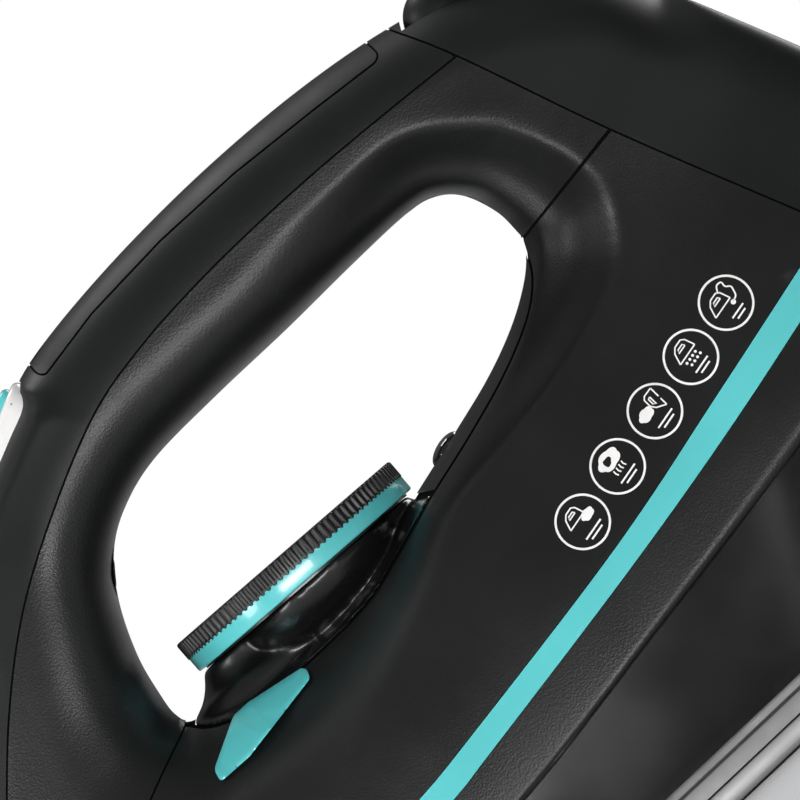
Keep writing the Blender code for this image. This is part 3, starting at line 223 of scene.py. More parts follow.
# The same from the top edge, against x: fuller round the buttons
TOP_REACH = ([-200, -78, -62, -36, -27, 200], [14.5, 14.5, 5.5, 5.5, 14.5, 14.5])
OGEE = (
    [0, 0.03, 0.1, 0.18, 0.3, 0.42, 0.56, 0.72, 0.86, 0.96, 1.04, 1.2],
    [0, 0.19, 0.35, 0.44, 0.505, 0.555, 0.64, 0.77, 0.885, 0.96, 0.988, 1],
)


# ---- curves and the outer surface


def spline(points, count, even=True):
    """Catmull-Rom curve through the points, read at count places."""
    p = np.array(points, float)
    q = np.concatenate([[2 * p[0] - p[1]], p, [2 * p[-1] - p[-2]]])
    fine = []
    for i in range(1, len(q) - 2):
        for t in np.linspace(0, 1, 24, endpoint=False):
            a = 2 * q[i]
            b = q[i + 1] - q[i - 1]
            c = 2 * q[i - 1] - 5 * q[i] + 4 * q[i + 1] - q[i + 2]
            d = -q[i - 1] + 3 * q[i] - 3 * q[i + 1] + q[i + 2]
            fine.append(0.5 * (a + b * t + c * t * t + d * t**3))
    fine = np.array(fine + [p[-1]])
    if even:
        s = np.concatenate([[0], np.cumsum(np.linalg.norm(np.diff(fine, axis=0), axis=1))])
    else:
        s = np.arange(len(fine), dtype=float)
    at = np.linspace(0, s[-1], count)
    return np.stack([np.interp(at, s, fine[:, k]) for k in range(p.shape[1])], 1)


def eased(x, xs, ys):
    """Smooth curve through a table, without overshoot."""
    xs, ys = np.array(xs, float), np.array(ys, float)
    h = np.diff(xs)
    slope = np.diff(ys) / h
    m = np.zeros(len(xs))
    same = slope[:-1] * slope[1:] > 0
    w1, w2 = 2 * h[1:] + h[:-1], h[1:] + 2 * h[:-1]
    inner = np.zeros(len(slope) - 1)
    inner[same] = (w1 + w2)[same] / (w1[same] / slope[:-1][same] + w2[same] / slope[1:][same])
    m[1:-1] = inner
    m[0], m[-1] = slope[0], slope[-1]
    x = np.clip(x, xs[0], xs[-1])
    i = np.clip(np.searchsorted(xs, x, side="right") - 1, 0, len(h) - 1)
    t = (x - xs[i]) / h[i]
    return (
        (2 * t**3 - 3 * t**2 + 1) * ys[i] + (t**3 - 2 * t**2 + t) * h[i] * m[i]
        + (-2 * t**3 + 3 * t**2) * ys[i + 1] + (t**3 - t**2) * h[i] * m[i + 1]
    )


RIM_FINE = spline(RIM + FLOOR, 700)
TOP_FINE = spline(TOP[::-1] + REAR_TOP[1:], 700)
LOWER_FINE = spline(LOWER, 500)


def away_from(curve, x, z):
    """Distance of each point from a fine curve, and the nearest place on it from 0 to 1."""
    shape = x.shape
    x, z = x.ravel(), z.ravel()
    dist = np.zeros(len(x))
    place = np.zeros(len(x))
    a, b = curve[:-1], curve[1:]
    ab = b - a
    length = (ab**2).sum(1)
    for k in range(0, len(x), 4000):
        p = np.stack([x[k : k + 4000], z[k : k + 4000]], 1)
        near = ((p[:, None] - curve[None]) ** 2).sum(-1).argmin(1)
        best = np.full(len(p), 1e9)
        where = np.zeros(len(p))
        for step in (-1, 0):
            i = np.clip(near + step, 0, len(a) - 1)
            t = np.clip(((p - a[i]) * ab[i]).sum(1) / length[i], 0, 1)
            d = np.linalg.norm(p - a[i] - ab[i] * t[:, None], axis=1)
            closer = d < best
            best[closer] = d[closer]
            where[closer] = (i + t)[closer]
        dist[k : k + 4000] = best
        place[k : k + 4000] = where / (len(curve) - 1)
    return dist.reshape(shape), place.reshape(shape)


def smooth(t):
    """Step from 0 to 1 with level ends."""
    t = np.clip(t, 0, 1)
    return t * t * (3 - 2 * t)


def quarter_round(t, power=2.0):
    """Rise from 0 to 1 along a quarter of a rounded edge."""
    return (1 - (1 - np.clip(t, 0, 1)) ** power) ** 0.5


def half_width(x, z):
    """Half the iron's width at a point of the side view, in millimetres."""
    x, z = np.atleast_1d(np.asarray(x, float)), np.atleast_1d(np.asarray(z, float))
    nose = NOSE_FOOT[0] + (z - NOSE_FOOT[1]) * NOSE_SLOPE
    t = np.clip((x - nose) / (WIDEST_X - nose), 0, 1)
    plan = (1 - (1 - t) ** NOSE_POWERS[0]) ** NOSE_POWERS[1]
    plan = plan * (1 - HEEL_TUCK * np.clip((x - WIDEST_X) / HEEL_RUN, 0, 2) ** 2)
    side = HALF_WIDTH * eased(z, TAPER_Z, TAPER) * plan
    d_top, _ = away_from(TOP_FINE, x, z)
    side = side * quarter_round(d_top / eased(x, *TOP_REACH), TOP_POWER)
    d_rim, place = away_from(RIM_FINE, x, z)
    reach = eased(place, *RIM_REACH)
    rounded = quarter_round(d_rim / reach)
    flow = smooth((x - RIM_FLOW) / RIM_FLOW_RUN)
    side = side * (rounded * (1 - flow) + eased(d_rim / reach, *OGEE) * flow)
    back = (BACK_FOOT[0] + (BACK_FOOT[1] - z) * BACK_SLOPE - x) * math.cos(BACK_LEAN)
    side = side * (BACK_WIDTH + (1 - BACK_WIDTH) * quarter_round(back / BACK_ROUND))
    d_low, _ = away_from(LOWER_FINE, x, z)
    roll = eased(x, *LOWER_ROLL)
    side = side - roll * 0.6 * (1 - quarter_round(d_low / roll))
    return side * SAFE


# ---- mesh helpers


def world(x, y, z):
    return Vector(((x + DATUM_X) * MM, y * MM, z * MM))


def mesh_object(name, bm):
    bmesh.ops.recalc_face_normals(bm, faces=bm.faces[:])
    mesh = bpy.data.meshes.new(name)
    bm.to_mesh(mesh)
    bm.free()
    obj = bpy.data.objects.new(name, mesh)
    bpy.context.scene.collection.objects.link(obj)
    return obj


def modified(obj, kind, **values):
    """Applies one modifier with the values given."""
    mod = obj.modifiers.new(kind.lower(), kind)
    for key, value in values.items():
        setattr(mod, key, value)
    graph = bpy.context.evaluated_depsgraph_get()
    graph.update()
    mesh = bpy.data.meshes.new_from_object(obj.evaluated_get(graph))
    obj.modifiers.clear()
    obj.data = mesh


def cut(target, cutter, operation="DIFFERENCE", exact=False, keep=False):
    solver = "EXACT" if exact else "MANIFOLD"
    modified(target, "BOOLEAN", operation=operation, object=cutter, solver=solver)
    if not keep:
        bpy.data.objects.remove(cutter)
    return target


def add(obj, mat, node, angle=32, replaces=True):
    """Finishes a piece and hangs it where a CAD node is, in that node's place or beside it."""
    obj.data.name = obj.name
    obj.data.materials.clear()
    obj.data.materials.append(mat)
    obj.data.shade_smooth()
    obj.data.set_sharp_from_angle(angle=math.radians(angle))
    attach(obj, frame["nodes"][node]["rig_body"])
    if replaces:
        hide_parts(node)


def copy_of(obj, name):
    made = obj.copy()
    made.data = obj.data.copy()
    made.name = name
    bpy.context.scene.collection.objects.link(made)
    return made


def normals(curve):
    """Unit normals of a plane curve, to the left of its run."""
    t = np.gradient(curve, axis=0)
    n = np.stack([-t[:, 1], t[:, 0]], 1)
    return n / np.linalg.norm(n, axis=1)[:, None]


def shifted(curve, by):
    return curve + normals(curve) * by


def seam(points, count=60, by=0.0):
    """Smooth line through the points, moved sideways."""
    return [tuple(p) for p in shifted(spline(points, count), by)]


def rear_run(high, low, by, count=24):
    """Stretch of the rear cover's seam between two heights."""
    fine = shifted(spline(REAR_SEAM, 241), by)
    z = np.linspace(high, low, count)
    return [(float(np.interp(-h, -fine[:, 1], fine[:, 0])), float(h)) for h in z]


def joined(*runs):
    """One outline from several runs, without points that nearly coincide."""
    points = []
    for p in [p for run in runs for p in run]:
        if not points or math.dist(p, points[-1]) > 0.35:
            points.append(p)
    return points


def grown(outline, by):
    """Outline moved outwards all round."""
    p = np.array(outline, float)
    after = np.roll(p, -1, 0)
    edge = after - p
    area = np.sum(p[:, 0] * after[:, 1] - after[:, 0] * p[:, 1])
    out = np.stack([edge[:, 1], -edge[:, 0]], 1) / np.linalg.norm(edge, axis=1)[:, None] * np.sign(area)
    before = np.roll(out, 1, 0)
    corner = before + out
    corner /= (corner * before).sum(1)[:, None]
    return [tuple(v) for v in p + corner * by]


def rounded(outline, radius, steps=5, closed=True):
    """Outline with its corners rounded; nearly straight ones stay, and an open outline's two ends."""
    p = [np.array(v, float) for v in outline]
    out = []
    for k in range(len(p)):
        a, b, c = p[k - 1], p[k], p[(k + 1) % len(p)]
        u, v = a - b, c - b
        lu, lv = np.linalg.norm(u), np.linalg.norm(v)
        straight = np.dot(u, v) / (lu * lv) < -0.92
        if straight or not closed and k in (0, len(p) - 1):
            out.append(tuple(b))
            continue
        cut_back = min(radius, lu * 0.45, lv * 0.45)
        s, e = b + u / lu * cut_back, b + v / lv * cut_back
        for t in np.linspace(0, 1, steps + 1):
            out.append(tuple((1 - t) ** 2 * s + 2 * t * (1 - t) * b + t * t * e))
    return out


def circle(radius, steps, u=0.0, v=0.0):
    turns = np.linspace(0, 2 * math.pi, steps, endpoint=False)
    return [(u + radius * math.cos(t), v + radius * math.sin(t)) for t in turns]


def stack(bm, rows, cap=True):
    """Faces between closed rings of equal length, and over both ends."""
    for a, b in zip(rows, rows[1:]):
        for k in range(len(a)):
            m = (k + 1) % len(a)
            bm.faces.new((a[k], a[m], b[m], b[k]))
    if cap:
        bm.faces.new(rows[0])
        bm.faces.new(rows[-1])


def loft(name, rings, cap=True):
    """Skin over closed rings of equal length, in side-view millimetres."""
    bm = bmesh.new()
    stack(bm, [[bm.verts.new(world(*p)) for p in ring] for ring in rings], cap)
    return mesh_object(name, bm)


def prism(name, outline, near=-FAR, far=FAR):
    return loft(name, [[(x, y, z) for x, z in outline] for y in (near, far)])


def envelope_grid(around, across, inset):
    """Right half of the outer surface as a grid, rim to outer edge, and which rows end open."""
    keys = np.array(STATIONS, float)
    last = len(STATIONS) - 1
    t = np.linspace(0, last, around)

    def run(side, a, b, places):
        """One side's curve from station a to station b, read at places counted in stations."""
        fine = (b - a) * 24 + 1
        curve = spline(keys[a : b + 1, side], fine, even=False)
        at = np.linspace(a, b, fine)
        return np.stack([np.interp(places, at, curve[:, i]) for i in range(2)], 1)

    inner = run(0, 0, last, t)
    outer = np.zeros((around, 2))
    corners = [0, 1, FIRST_LOWER, LAST_LOWER, last]
    for a, b in zip(corners, corners[1:]):
        here = (t >= a - 1e-9) & (t <= b + 1e-9)
        outer[here] = run(1, a, b, t[here])
    share = 0.5 - 0.5 * np.cos(math.pi * np.linspace(0, 1, across))
    share = 0.85 * share + 0.15 * np.linspace(0, 1, across)
    xz = inner[:, None] * (1 - share[None, :, None]) + outer[:, None] * share[None, :, None]
    y = -half_width(xz[..., 0], xz[..., 1])
    y[:, 0] = 0.0
    open_end = (t > FIRST_LOWER - 0.01) & (t < LAST_LOWER + 0.01)
    back = (t > LAST_LOWER - 0.01) | (t < 1.01)
    y[~(open_end | back), -1] = 0.0
    grid = np.stack([xz[..., 0], y, xz[..., 1]], -1)
    if inset:
        grid = grid + inset * inward(grid)
        grid[open_end, -1, 2] -= FOOT_DROP
        grid[back, -1] -= inset * np.array([math.cos(BACK_LEAN), 0, math.sin(BACK_LEAN)])
        grid[:, 0, 1] = 0.0
        grid[~(open_end | back), -1, 1] = 0.0
        grid[-1] = grid[0]
    return grid, open_end, back


def inward(grid):
    """Unit normals of the grid, pointing to the inside."""
    ring = np.concatenate([grid[-2:-1], grid, grid[1:2]])
    du = ring[2:] - ring[:-2]
    mirror = grid[:, 1:2] * np.array([1, -1, 1])
    row = np.concatenate([mirror, grid, grid[:, -1:]], 1)
    end = grid[:, -2:-1] * np.array([1, -1, 1])
    row[:, -1:] = np.where(np.abs(grid[:, -1:, 1:2]) < 1e-9, end, row[:, -1:])
    dv = row[:, 2:] - row[:, :-2]
    n = np.cross(du, dv)
    n /= np.linalg.norm(n, axis=-1)[..., None] + 1e-12
    return n * np.sign(n[..., 1].sum())


def envelope(name, around, across, inset=0.0):
    """The iron's closed outer form round the hand opening, moved in by inset."""
    grid, open_end, back = envelope_grid(around, across, inset)
    bm = bmesh.new()
    verts = {}
    for side in (1, -1):
        rows = []
        for i in range(len(grid) - 1):
            row = []
            for j in range(grid.shape[1]):
                x, y, z = grid[i, j]
                middle = abs(y) < 1e-9
                key = (i, j, 0 if middle else side)
                if key not in verts:
                    verts[key] = bm.verts.new(world(x, 0.0 if middle else y * side, z))
                row.append(verts[key])
            x, y, z = grid[i, -1]
            if abs(y) > 1e-9 and (back[i] or open_end[i]):
                key = (i, -1, 0)
                if key not in verts:
                    verts[key] = bm.verts.new(world(x, 0.0, z))
                row.append(verts[key])
            rows.append(row)
        for a, b in zip(rows, rows[1:] + rows[:1]):
            for k in range(max(len(a), len(b)) - 1):
                corners = [a[min(k, len(a) - 1)], b[min(k, len(b) - 1)],
                           b[min(k + 1, len(b) - 1)], a[min(k + 1, len(a) - 1)]]
                corners = list(dict.fromkeys(corners))
                if len(corners) > 2 and any(v.co.y for v in corners):
                    bm.faces.new(corners)
    return mesh_object(name, bm)


# ---- finishes


def preset(node, **values):
    """Sets unlinked inputs by name, with an underscore for each space."""
    for key, value in values.items():
        node.inputs[key.replace("_", " ")].default_value = value


class Finish:
    """One procedural finish, wired up from named steps."""

    def __init__(self, name, colour, roughness, metallic=0.0, coat=0.0, specular=0.5):
        self.material = bpy.data.materials.new(name)
        self.material.use_nodes = True
        self.tree = self.material.node_tree
        self.shader = self.tree.nodes["Principled BSDF"]
        preset(self.shader, Metallic=metallic, Coat_Weight=coat, Coat_Roughness=0.06)
        preset(self.shader, Specular_IOR_Level=specular)
        self.colour = colour
        self.roughness = roughness
        self.coords = self.node("TexCoord", "Object")
        self.normal = None

    def node(self, kind, output, links=(), settings=(), **values):
        """Adds a node with its inputs linked and set, and gives one of its outputs."""
        made = self.tree.nodes.new("ShaderNode" + kind)
        for key, value in settings:
            setattr(made, key, value)
        preset(made, **values)
        for key, source in links:
            self.tree.links.new(source, made.inputs[key])
        return made.outputs[output]

    def noise(self, scale, detail=3.0, roughness=0.55, stretch=None):
        source = self.coords
        if stretch:
            source = self.node("Mapping", "Vector", [("Vector", source)], Scale=stretch)
        values = {"Scale": scale, "Detail": detail, "Roughness": roughness}
        return self.node("TexNoise", "Fac", [("Vector", source)], **values)

    def spread(self, value, low, high, start=0.0, end=1.0):
        values = {"From_Min": start, "From_Max": end, "To_Min": low, "To_Max": high}
        return self.node("MapRange", "Result", [("Value", value)], **values)

    def bump(self, height, strength, distance):
        links = [("Height", height)] + ([("Normal", self.normal)] if self.normal else [])
        self.normal = self.node("Bump", "Normal", links, Strength=strength, Distance=distance)

    def done(self, wear, wear_amount, shade_low, shade_high, rough_spread, rough_scale):
        """Colour mottling, worn edges and uneven gloss."""
        mottle = self.spread(self.noise(26.0, 4.0), shade_low, shade_high, 0.3, 0.7)
        shade = self.node("VectorMath", "Vector", [("Scale", mottle)], [("operation", "SCALE")])
        shade.node.inputs[0].default_value = self.colour
        edge = self.spread(self.node("NewGeometry", "Pointiness"), 0.0, wear_amount, 0.52, 0.6)
        chips = self.spread(self.noise(340.0, 2.0), 0.0, 1.0, 0.4, 0.7)
        chipped = self.node("Math", "Value", [(0, edge), (1, chips)], [("operation", "MULTIPLY")])
        worn = self.node("Mix", 2, [(0, chipped), (6, shade)], [("data_type", "RGBA")])
        worn.node.inputs[7].default_value = (*wear, 1)
        low, high = self.roughness - rough_spread, self.roughness + rough_spread
        gloss = self.spread(self.noise(rough_scale, 4.0), low, high, 0.3, 0.7)
        for key, source in (("Base Color", worn), ("Roughness", gloss), ("Normal", self.normal)):
            self.tree.links.new(source, self.shader.inputs[key])
        return self.material


def grained(name, colour, roughness, depth, cell, specular=0.5):
    made = Finish(name, colour, roughness, specular=specular)
    made.bump(made.noise(cell * 1.7, 2.0), 0.5, depth * 0.7)
    cells = made.node("TexVoronoi", "Distance", [("Vector", made.coords)], Scale=cell)
    made.bump(cells, 0.6, depth)
    lighter = [min(1, c * 2.6 + 0.02) for c in colour]
    return made.done(lighter, 0.35, 0.82, 1.18, 0.05, 60.0)


def glossy(name, colour, roughness, coat=0.5, wear=None, spread=0.04):
    made = Finish(name, colour, roughness, coat=coat)
    made.bump(made.noise(90.0, 2.0), 0.12, 0.0001)
    wear = wear or [min(1, c * 1.6 + 0.03) for c in colour]
    return made.done(wear, 0.3, 0.93, 1.07, spread, 45.0)


def metal(name, colour, roughness, stretch=(1.0, 40.0, 1.0), depth=0.00003, metallic=1.0):
    made = Finish(name, colour, roughness, metallic=metallic)
    made.bump(made.noise(60.0, 4.0, 0.6, stretch), 0.35, depth)
    return made.done([min(1, c * 1.3) for c in colour], 0.5, 0.88, 1.1, 0.07, 80.0)


GRAIN_BLACK = grained("grain_black", (0.008, 0.0083, 0.0082), 0.38, 0.00005, 2300.0, 0.35)
SATIN_BLACK = grained("satin_black", (0.0095, 0.0105, 0.0102), 0.44, 0.00002, 2600.0, 0.2)
INLAY_BLACK = grained("rubber_black", (0.0095, 0.0105, 0.0102), 0.48, 0.00003, 2100.0, 0.2)
GLOSS_BLACK = glossy("gloss_black", (0.005, 0.005, 0.005), 0.27, 0.08)
SKIRT_BLACK = glossy("skirt_black", (0.006, 0.006, 0.006), 0.13, 0.0, spread=0.02)
KNURL_BLACK = glossy("knurl_black", (0.009, 0.009, 0.009), 0.42, 0.0)
SMOKED = glossy("smoked_lens", (0.012, 0.011, 0.011), 0.1, 0.8)
# Near-black, barely reflecting liner finish, darker than the plastic itself: painted shade that keeps the
# seam lines dark under any light
PAINTED_JOINT_SHADE = grained("joint_shadow", (0.002, 0.002, 0.002), 0.8, 0.00002, 2000.0, 0.05)
TEAL = glossy("teal_gloss", (0.105, 0.55, 0.565), 0.24, 0.4)
WHITE = glossy("pearl_white", (0.83, 0.82, 0.81), 0.2, 0.4, (0.7, 0.68, 0.65))
PRINT = glossy("badge_print", (0.94, 0.92, 0.91), 0.45, 0.0, (0.6, 0.6, 0.6))
CAST = metal("cast_aluminium", (0.2, 0.2, 0.2), 0.55, (1.0, 1.0, 1.0), 0.0001, metallic=0.5)
SOLE = metal("sole_finish", (0.27, 0.27, 0.275), 0.42, metallic=0.25)
BY_SLOT = {
    "grain_black": GRAIN_BLACK, "satin_black": SATIN_BLACK, "rubber_black": INLAY_BLACK,
    "gloss_black": GLOSS_BLACK, "teal_gloss": TEAL, "pearl_white": WHITE,
    "cast_aluminium": CAST, "sole_finish": SOLE,
    "steel": metal("steel", (0.56, 0.56, 0.57), 0.3),
    "brass": metal("brass", (0.72, 0.55, 0.26), 0.3),
    "tank_plastic": glossy("tank_plastic", (0.13, 0.2, 0.22), 0.12, 0.6),
    "silicone": glossy("silicone", (0.6, 0.2, 0.12), 0.5, 0.0),
    "wire": glossy("wire", (0.6, 0.12, 0.05), 0.45, 0.0),
}


# ---- shape helpers


def upright(place, axis):
    """Frame at a place in the side view, with its Z along the axis."""
    turn = Vector(axis).to_track_quat("Z", "Y").to_matrix().to_4x4()
    turn.translation = world(*place)
    return turn


def lathe(name, profile, place, axis, steps=72):
    """Turned piece; the profile is (radius, height) in millimetres along the axis."""
    turn = upright(place, axis)
    bm = bmesh.new()
    rings = []
    for r, h in profile:
        spots = circle(r, steps) if r > 1e-6 else [(0, 0)]
        rings.append([bm.verts.new(turn @ Vector((x * MM, y * MM, h * MM))) for x, y in spots])
    for a, b in zip(rings, rings[1:]):
        for k in range(steps):
            corners = [a[k % len(a)], a[(k + 1) % len(a)], b[(k + 1) % len(b)], b[k % len(b)]]
            corners = list(dict.fromkeys(corners))
            if len(corners) > 2:
                bm.faces.new(corners)
    bmesh.ops.remove_doubles(bm, verts=bm.verts[:], dist=1e-7)
    return mesh_object(name, bm)


def local_frame(origin, tilt):
    """Side-view frame on a slope: along (rearward), across (y), and out of the surface."""
    along = np.array([math.cos(tilt), math.sin(tilt)])
    out = np.array([-math.sin(tilt), math.cos(tilt)])

    def at(u, y, n):
        p = np.array(origin) + along * u + out * n
        return (p[0], y, p[1])

    return at


def lozenge(half_u, half_y, corner, steps=8):
    """Rounded rectangle round the origin."""
    points = []
    for sx, sy, start in ((1, 1, 0), (-1, 1, 90), (-1, -1, 180), (1, -1, 270)):
        for k in range(steps + 1):
            a = math.radians(start + 90 * k / steps)
            u, y = sx * (half_u - corner), sy * (half_y - corner)
            points.append((u + corner * math.cos(a), y + corner * math.sin(a)))
    return points


def pad(name, at, middle, half_u, half_y, corner, low, high, edge, crown=0.0):
    """Rounded block on a slope, with soft upper edges and a crowned top."""
    turns = np.linspace(0, math.pi / 2, 6)
    rows = [(0.0, low)]
    rows += [(edge * (1 - math.cos(a)), high - edge + edge * math.sin(a)) for a in turns]
    inner = (min(half_u, half_y) - edge) * 0.97
    rows += [(edge + inner * q, high + crown * (1 - (1 - q) ** 2)) for q in (0.12, 0.3, 0.55, 0.8, 1.0)]
    rings = []
    for inset, n in rows:
        outline = lozenge(half_u - inset, half_y - inset, max(corner - inset, 0.02))
        rings.append([at(middle[0] + u, middle[1] + y, n) for u, y in outline])
    return loft(name, rings)


def field_slab(name, outline, outer, inner, pitch):
    """Solid whose two faces follow widths given over the side view, cut to an outline."""
    p = np.array(outline)
    low, high = p.min(0) - 1.0, p.max(0) + 1.0
    xs, zs = [np.linspace(a, b, int((b - a) / pitch) + 2) for a, b in zip(low, high)]
    x, z = np.meshgrid(xs, zs, indexing="ij")
    bm = bmesh.new()
    borders = []
    for field in (outer, inner):
        y = -field(x, z)
        sheet = [[bm.verts.new(world(u, y[i, j], v)) for j, v in enumerate(zs)] for i, u in enumerate(xs)]
        for a, b in zip(sheet, sheet[1:]):
            for j in range(len(zs) - 1):
                bm.faces.new((a[j], b[j], b[j + 1], a[j + 1]))
        sides = sheet[1:-1]
        border = sheet[0] + [row[-1] for row in sides] + sheet[-1][::-1]
        borders.append(border + [row[0] for row in sides[::-1]])
    stack(bm, borders, cap=False)
    return cut(mesh_object(name, bm), prism(name + "_region", outline), "INTERSECT")


def rod(name, a, b, radius, steps=40):
    axis = Vector(b) - Vector(a)
    profile = [(0, 0), (radius, 0), (radius, axis.length), (0, axis.length)]
    return lathe(name, profile, a, axis, steps)


def box_between(name, low, high):
    (x0, y0, z0), (x1, y1, z1) = low, high
    return prism(name, [(x0, z0), (x1, z0), (x1, z1), (x0, z1)], y0, y1)


def slope_prism(name, at, us, ns, y):
    corners = [(us[0], ns[0]), (us[1], ns[0]), (us[1], ns[1]), (us[0], ns[1])]
    points = [at(u, 0, n) for u, n in corners]
    return prism(name, [(p[0], p[2]) for p in points], -y, y)


# ---- openings shared by the shells


BUTTONS_AT = local_frame(BUTTON_SEAT, BUTTON_TILT)
LID_AT = local_frame(FILLER_SEAT, FILLER_TILT)
NOZZLE_AT = local_frame(NOZZLE_SEAT, FILLER_TILT)
BACK_AT = local_frame(BACK_FOOT, math.radians(90) + BACK_LEAN)
LENS_AT = local_frame((LENS_X, LENS_Z), LENS_TILT)


def dial_at(height):
    return (DIAL_X + math.sin(DIAL_TILT) * height, 0.0, DIAL_BASE_Z + math.cos(DIAL_TILT) * height)


def gland_room():
    """Cutter that leaves the ball room to turn and the sleeve room to tilt."""
    centre = np.array(GLAND_PIVOT)
    room = GLAND_R + 0.7
    low, high = GLAND_AXIS - GLAND_LEAN, GLAND_AXIS + GLAND_LEAN
    turns = np.linspace(high + math.pi / 2, low + 1.5 * math.pi, 17)
    outline = [tuple(centre + room * np.array([math.cos(a), math.sin(a)])) for a in turns]
    for angle, end in ((low, outline[-1]), (high, outline[0])):
        outline.append(tuple(np.array(end) + 34.0 * np.array([math.cos(angle), math.sin(angle)])))
    return prism("gland_room", outline, -room, room)


def through(name, at, radius, u=0.0, depth=8):
    """Cutter for a round opening on a slope."""
    return rod(name, at(u, 0, -depth), at(u, 0, depth), radius)


def shell_holes():
    """Cutters for everything that comes through the moulded wall."""
    size = (BEZEL_U + 0.25, BEZEL_Y + 0.25)
    low, high = (TAB_LEG_X - 0.6, -26.6, 60.0), (TAB_LEG_X + TAB_LEG + TAB_TRAVEL + 0.6, -22.3, 82.0)
    return [
        pad("bezel_hole", BUTTONS_AT, (BEZEL_MIDDLE, 0), *size, 5.7, -12.0, 14.0, 0.1),
        slope_prism("lid_hole", LID_AT, (-12.3, 13.4), (-9.0, 6.0), 6.9),
        through("nozzle_hole", NOZZLE_AT, NOZZLE_R + 0.2),
        box_between("tab_hole", low, high),
        through("lens_hole", LENS_AT, LENS_R + 0.15),
        through("screw_hole", BACK_AT, SCREW_R, SCREW_U, 9),
        gland_room(),
    ]


# ---- outer shells


def piece_of(solid, name, outline, near=-FAR, far=FAR):
    """Part of the wall inside an outline of the side view."""
    return cut(copy_of(solid, name), prism(name + "_region", outline, near, far), "INTERSECT")


def walls():
    """Outer wall, the darker liner that shows in its seams (a real tongue whose near-black colour is
    painted shade in the joints), and stock for the deck.
    """
    solid = envelope("envelope_outer", AROUND, ACROSS)
    deck = copy_of(solid, "control_deck_skin")
    cut(deck, envelope("deck_inner", AROUND // 2, ACROSS // 2, DECK_WALL))
    cut(solid, envelope("envelope_inner", AROUND, ACROSS, SKIN))
    liner = envelope("shell_liner", AROUND, ACROSS, LINER[0])
    cut(liner, envelope("liner_inner", AROUND // 2, ACROSS // 2, LINER[1]))
    below = [(x, z + 1.2) for x, z in LOWER[1:]]
    below += [(150.0, 49.0), (150.0, -10.0), (-170.0, -10.0), (-170.0, 20.4)]
    cut(liner, prism("below_shell", below))
    for hole in shell_holes():
        cut(solid, hole, keep=True)
        cut(liner, hole)
    cut(liner, rod("bowl_room", dial_at(-13), dial_at(3), 21.0))
    return solid, liner, deck


def shells():
    solid, liner, deck = walls()
    over = [(-1.6, 84.4), (-20.0, 92.0), (-46.0, 84.0)]
    deck_line = joined([(-52.8, 79.0)], seam(DECK_SEAM, 40, SEAM)[1:], over)
    cut(liner, prism("deck_room", deck_line))
    # The liner is a real tongue behind the seams; its near-black finish is painted shade in the joints
    add(liner, PAINTED_JOINT_SHADE, "rear_cover", replaces=False)

    body_line = joined(
        [(-170.0, 5.0)], seam(NOSE_SEAM[:-1], 60, -SEAM)[:-1], seam(DECK_SEAM, 40, -SEAM),
        seam(TRIM_SEAM, 40, -SEAM), rear_run(106.0, 47.4, -SEAM), [(112.0, 28.0), (112.0, 5.0)],
    )
    body = piece_of(solid, "body_shell_skin", body_line)
    stripe = joined(seam(STRIPE_TOP, 60), seam(STRIPE_LOW, 60)[::-1])
    cut(body, prism("stripe_slot", grown(stripe, 0.06)))
    add(body, GRAIN_BLACK, "body_shell")
    for name, low, high in (("stripe_right", -FAR, -4.0), ("stripe_left", 4.0, FAR)):
        add(piece_of(solid, name + "_skin", grown(stripe, -0.06), low, high), TEAL, name)

    behind = [(113.0, 26.0), (170.0, 26.0), (170.0, 157.0)]
    rear_line = joined([(58.4, 157.0)], rear_run(148.6, 47.4, SEAM, 30), behind)
    add(piece_of(solid, "rear_cover_skin", rear_line), SATIN_BLACK, "rear_cover")

    crease = [(67.1, 135.9)] + CREASE[1:]
    opening = [(-54.0, 80.4), (-48.0, 84.0), (-40.0, 88.0), (0.0, 100.0), (46.0, 105.0), (53.4, 103.0)]
    low_line = joined(
        seam(NOSE_SEAM[2:-1], 50, SEAM)[1:-1], opening,
        rear_run(135.6, 106.7, -SEAM, 16)[::-1], seam(crease, 90, SEAM)[:-1],
    )
    add(piece_of(solid, "handle_lower_skin", low_line), GRAIN_BLACK, "handle_lower_shell")
    above = [
        (-127.6, 51.9), (-140.0, 46.9), (-170.0, 36.3), (-170.0, 175.0), (50.0, 175.0), (57.6, 157.0),
    ]
    top_line = joined(seam(crease, 90, -SEAM)[:-1], above, rear_run(148.6, 136.8, -SEAM, 8))
    top = piece_of(solid, "handle_top_skin", top_line)
    inlay = rounded(INLAY, 2.2)
    cut(top, prism("inlay_slot", grown(inlay, SEAM)))
    add(top, SATIN_BLACK, "handle_top_cover")
    add(piece_of(solid, "grip_inlay_skin", grown(inlay, -SEAM)), INLAY_BLACK, "grip_inlay")

    cut(deck, prism("deck_region", deck_line), "INTERSECT")
    over = [(52.6, 107.0), (20.0, 100.0), (-0.4, 85.8)]
    trim_line = joined([(9.0, 80.4)], seam(TRIM_SEAM, 40, SEAM)[1:], over)
    add(piece_of(solid, "deck_trim_skin", trim_line), GRAIN_BLACK, "deck_trim")
    bpy.data.objects.remove(solid)
    return deck


# ---- deck, dial and slider


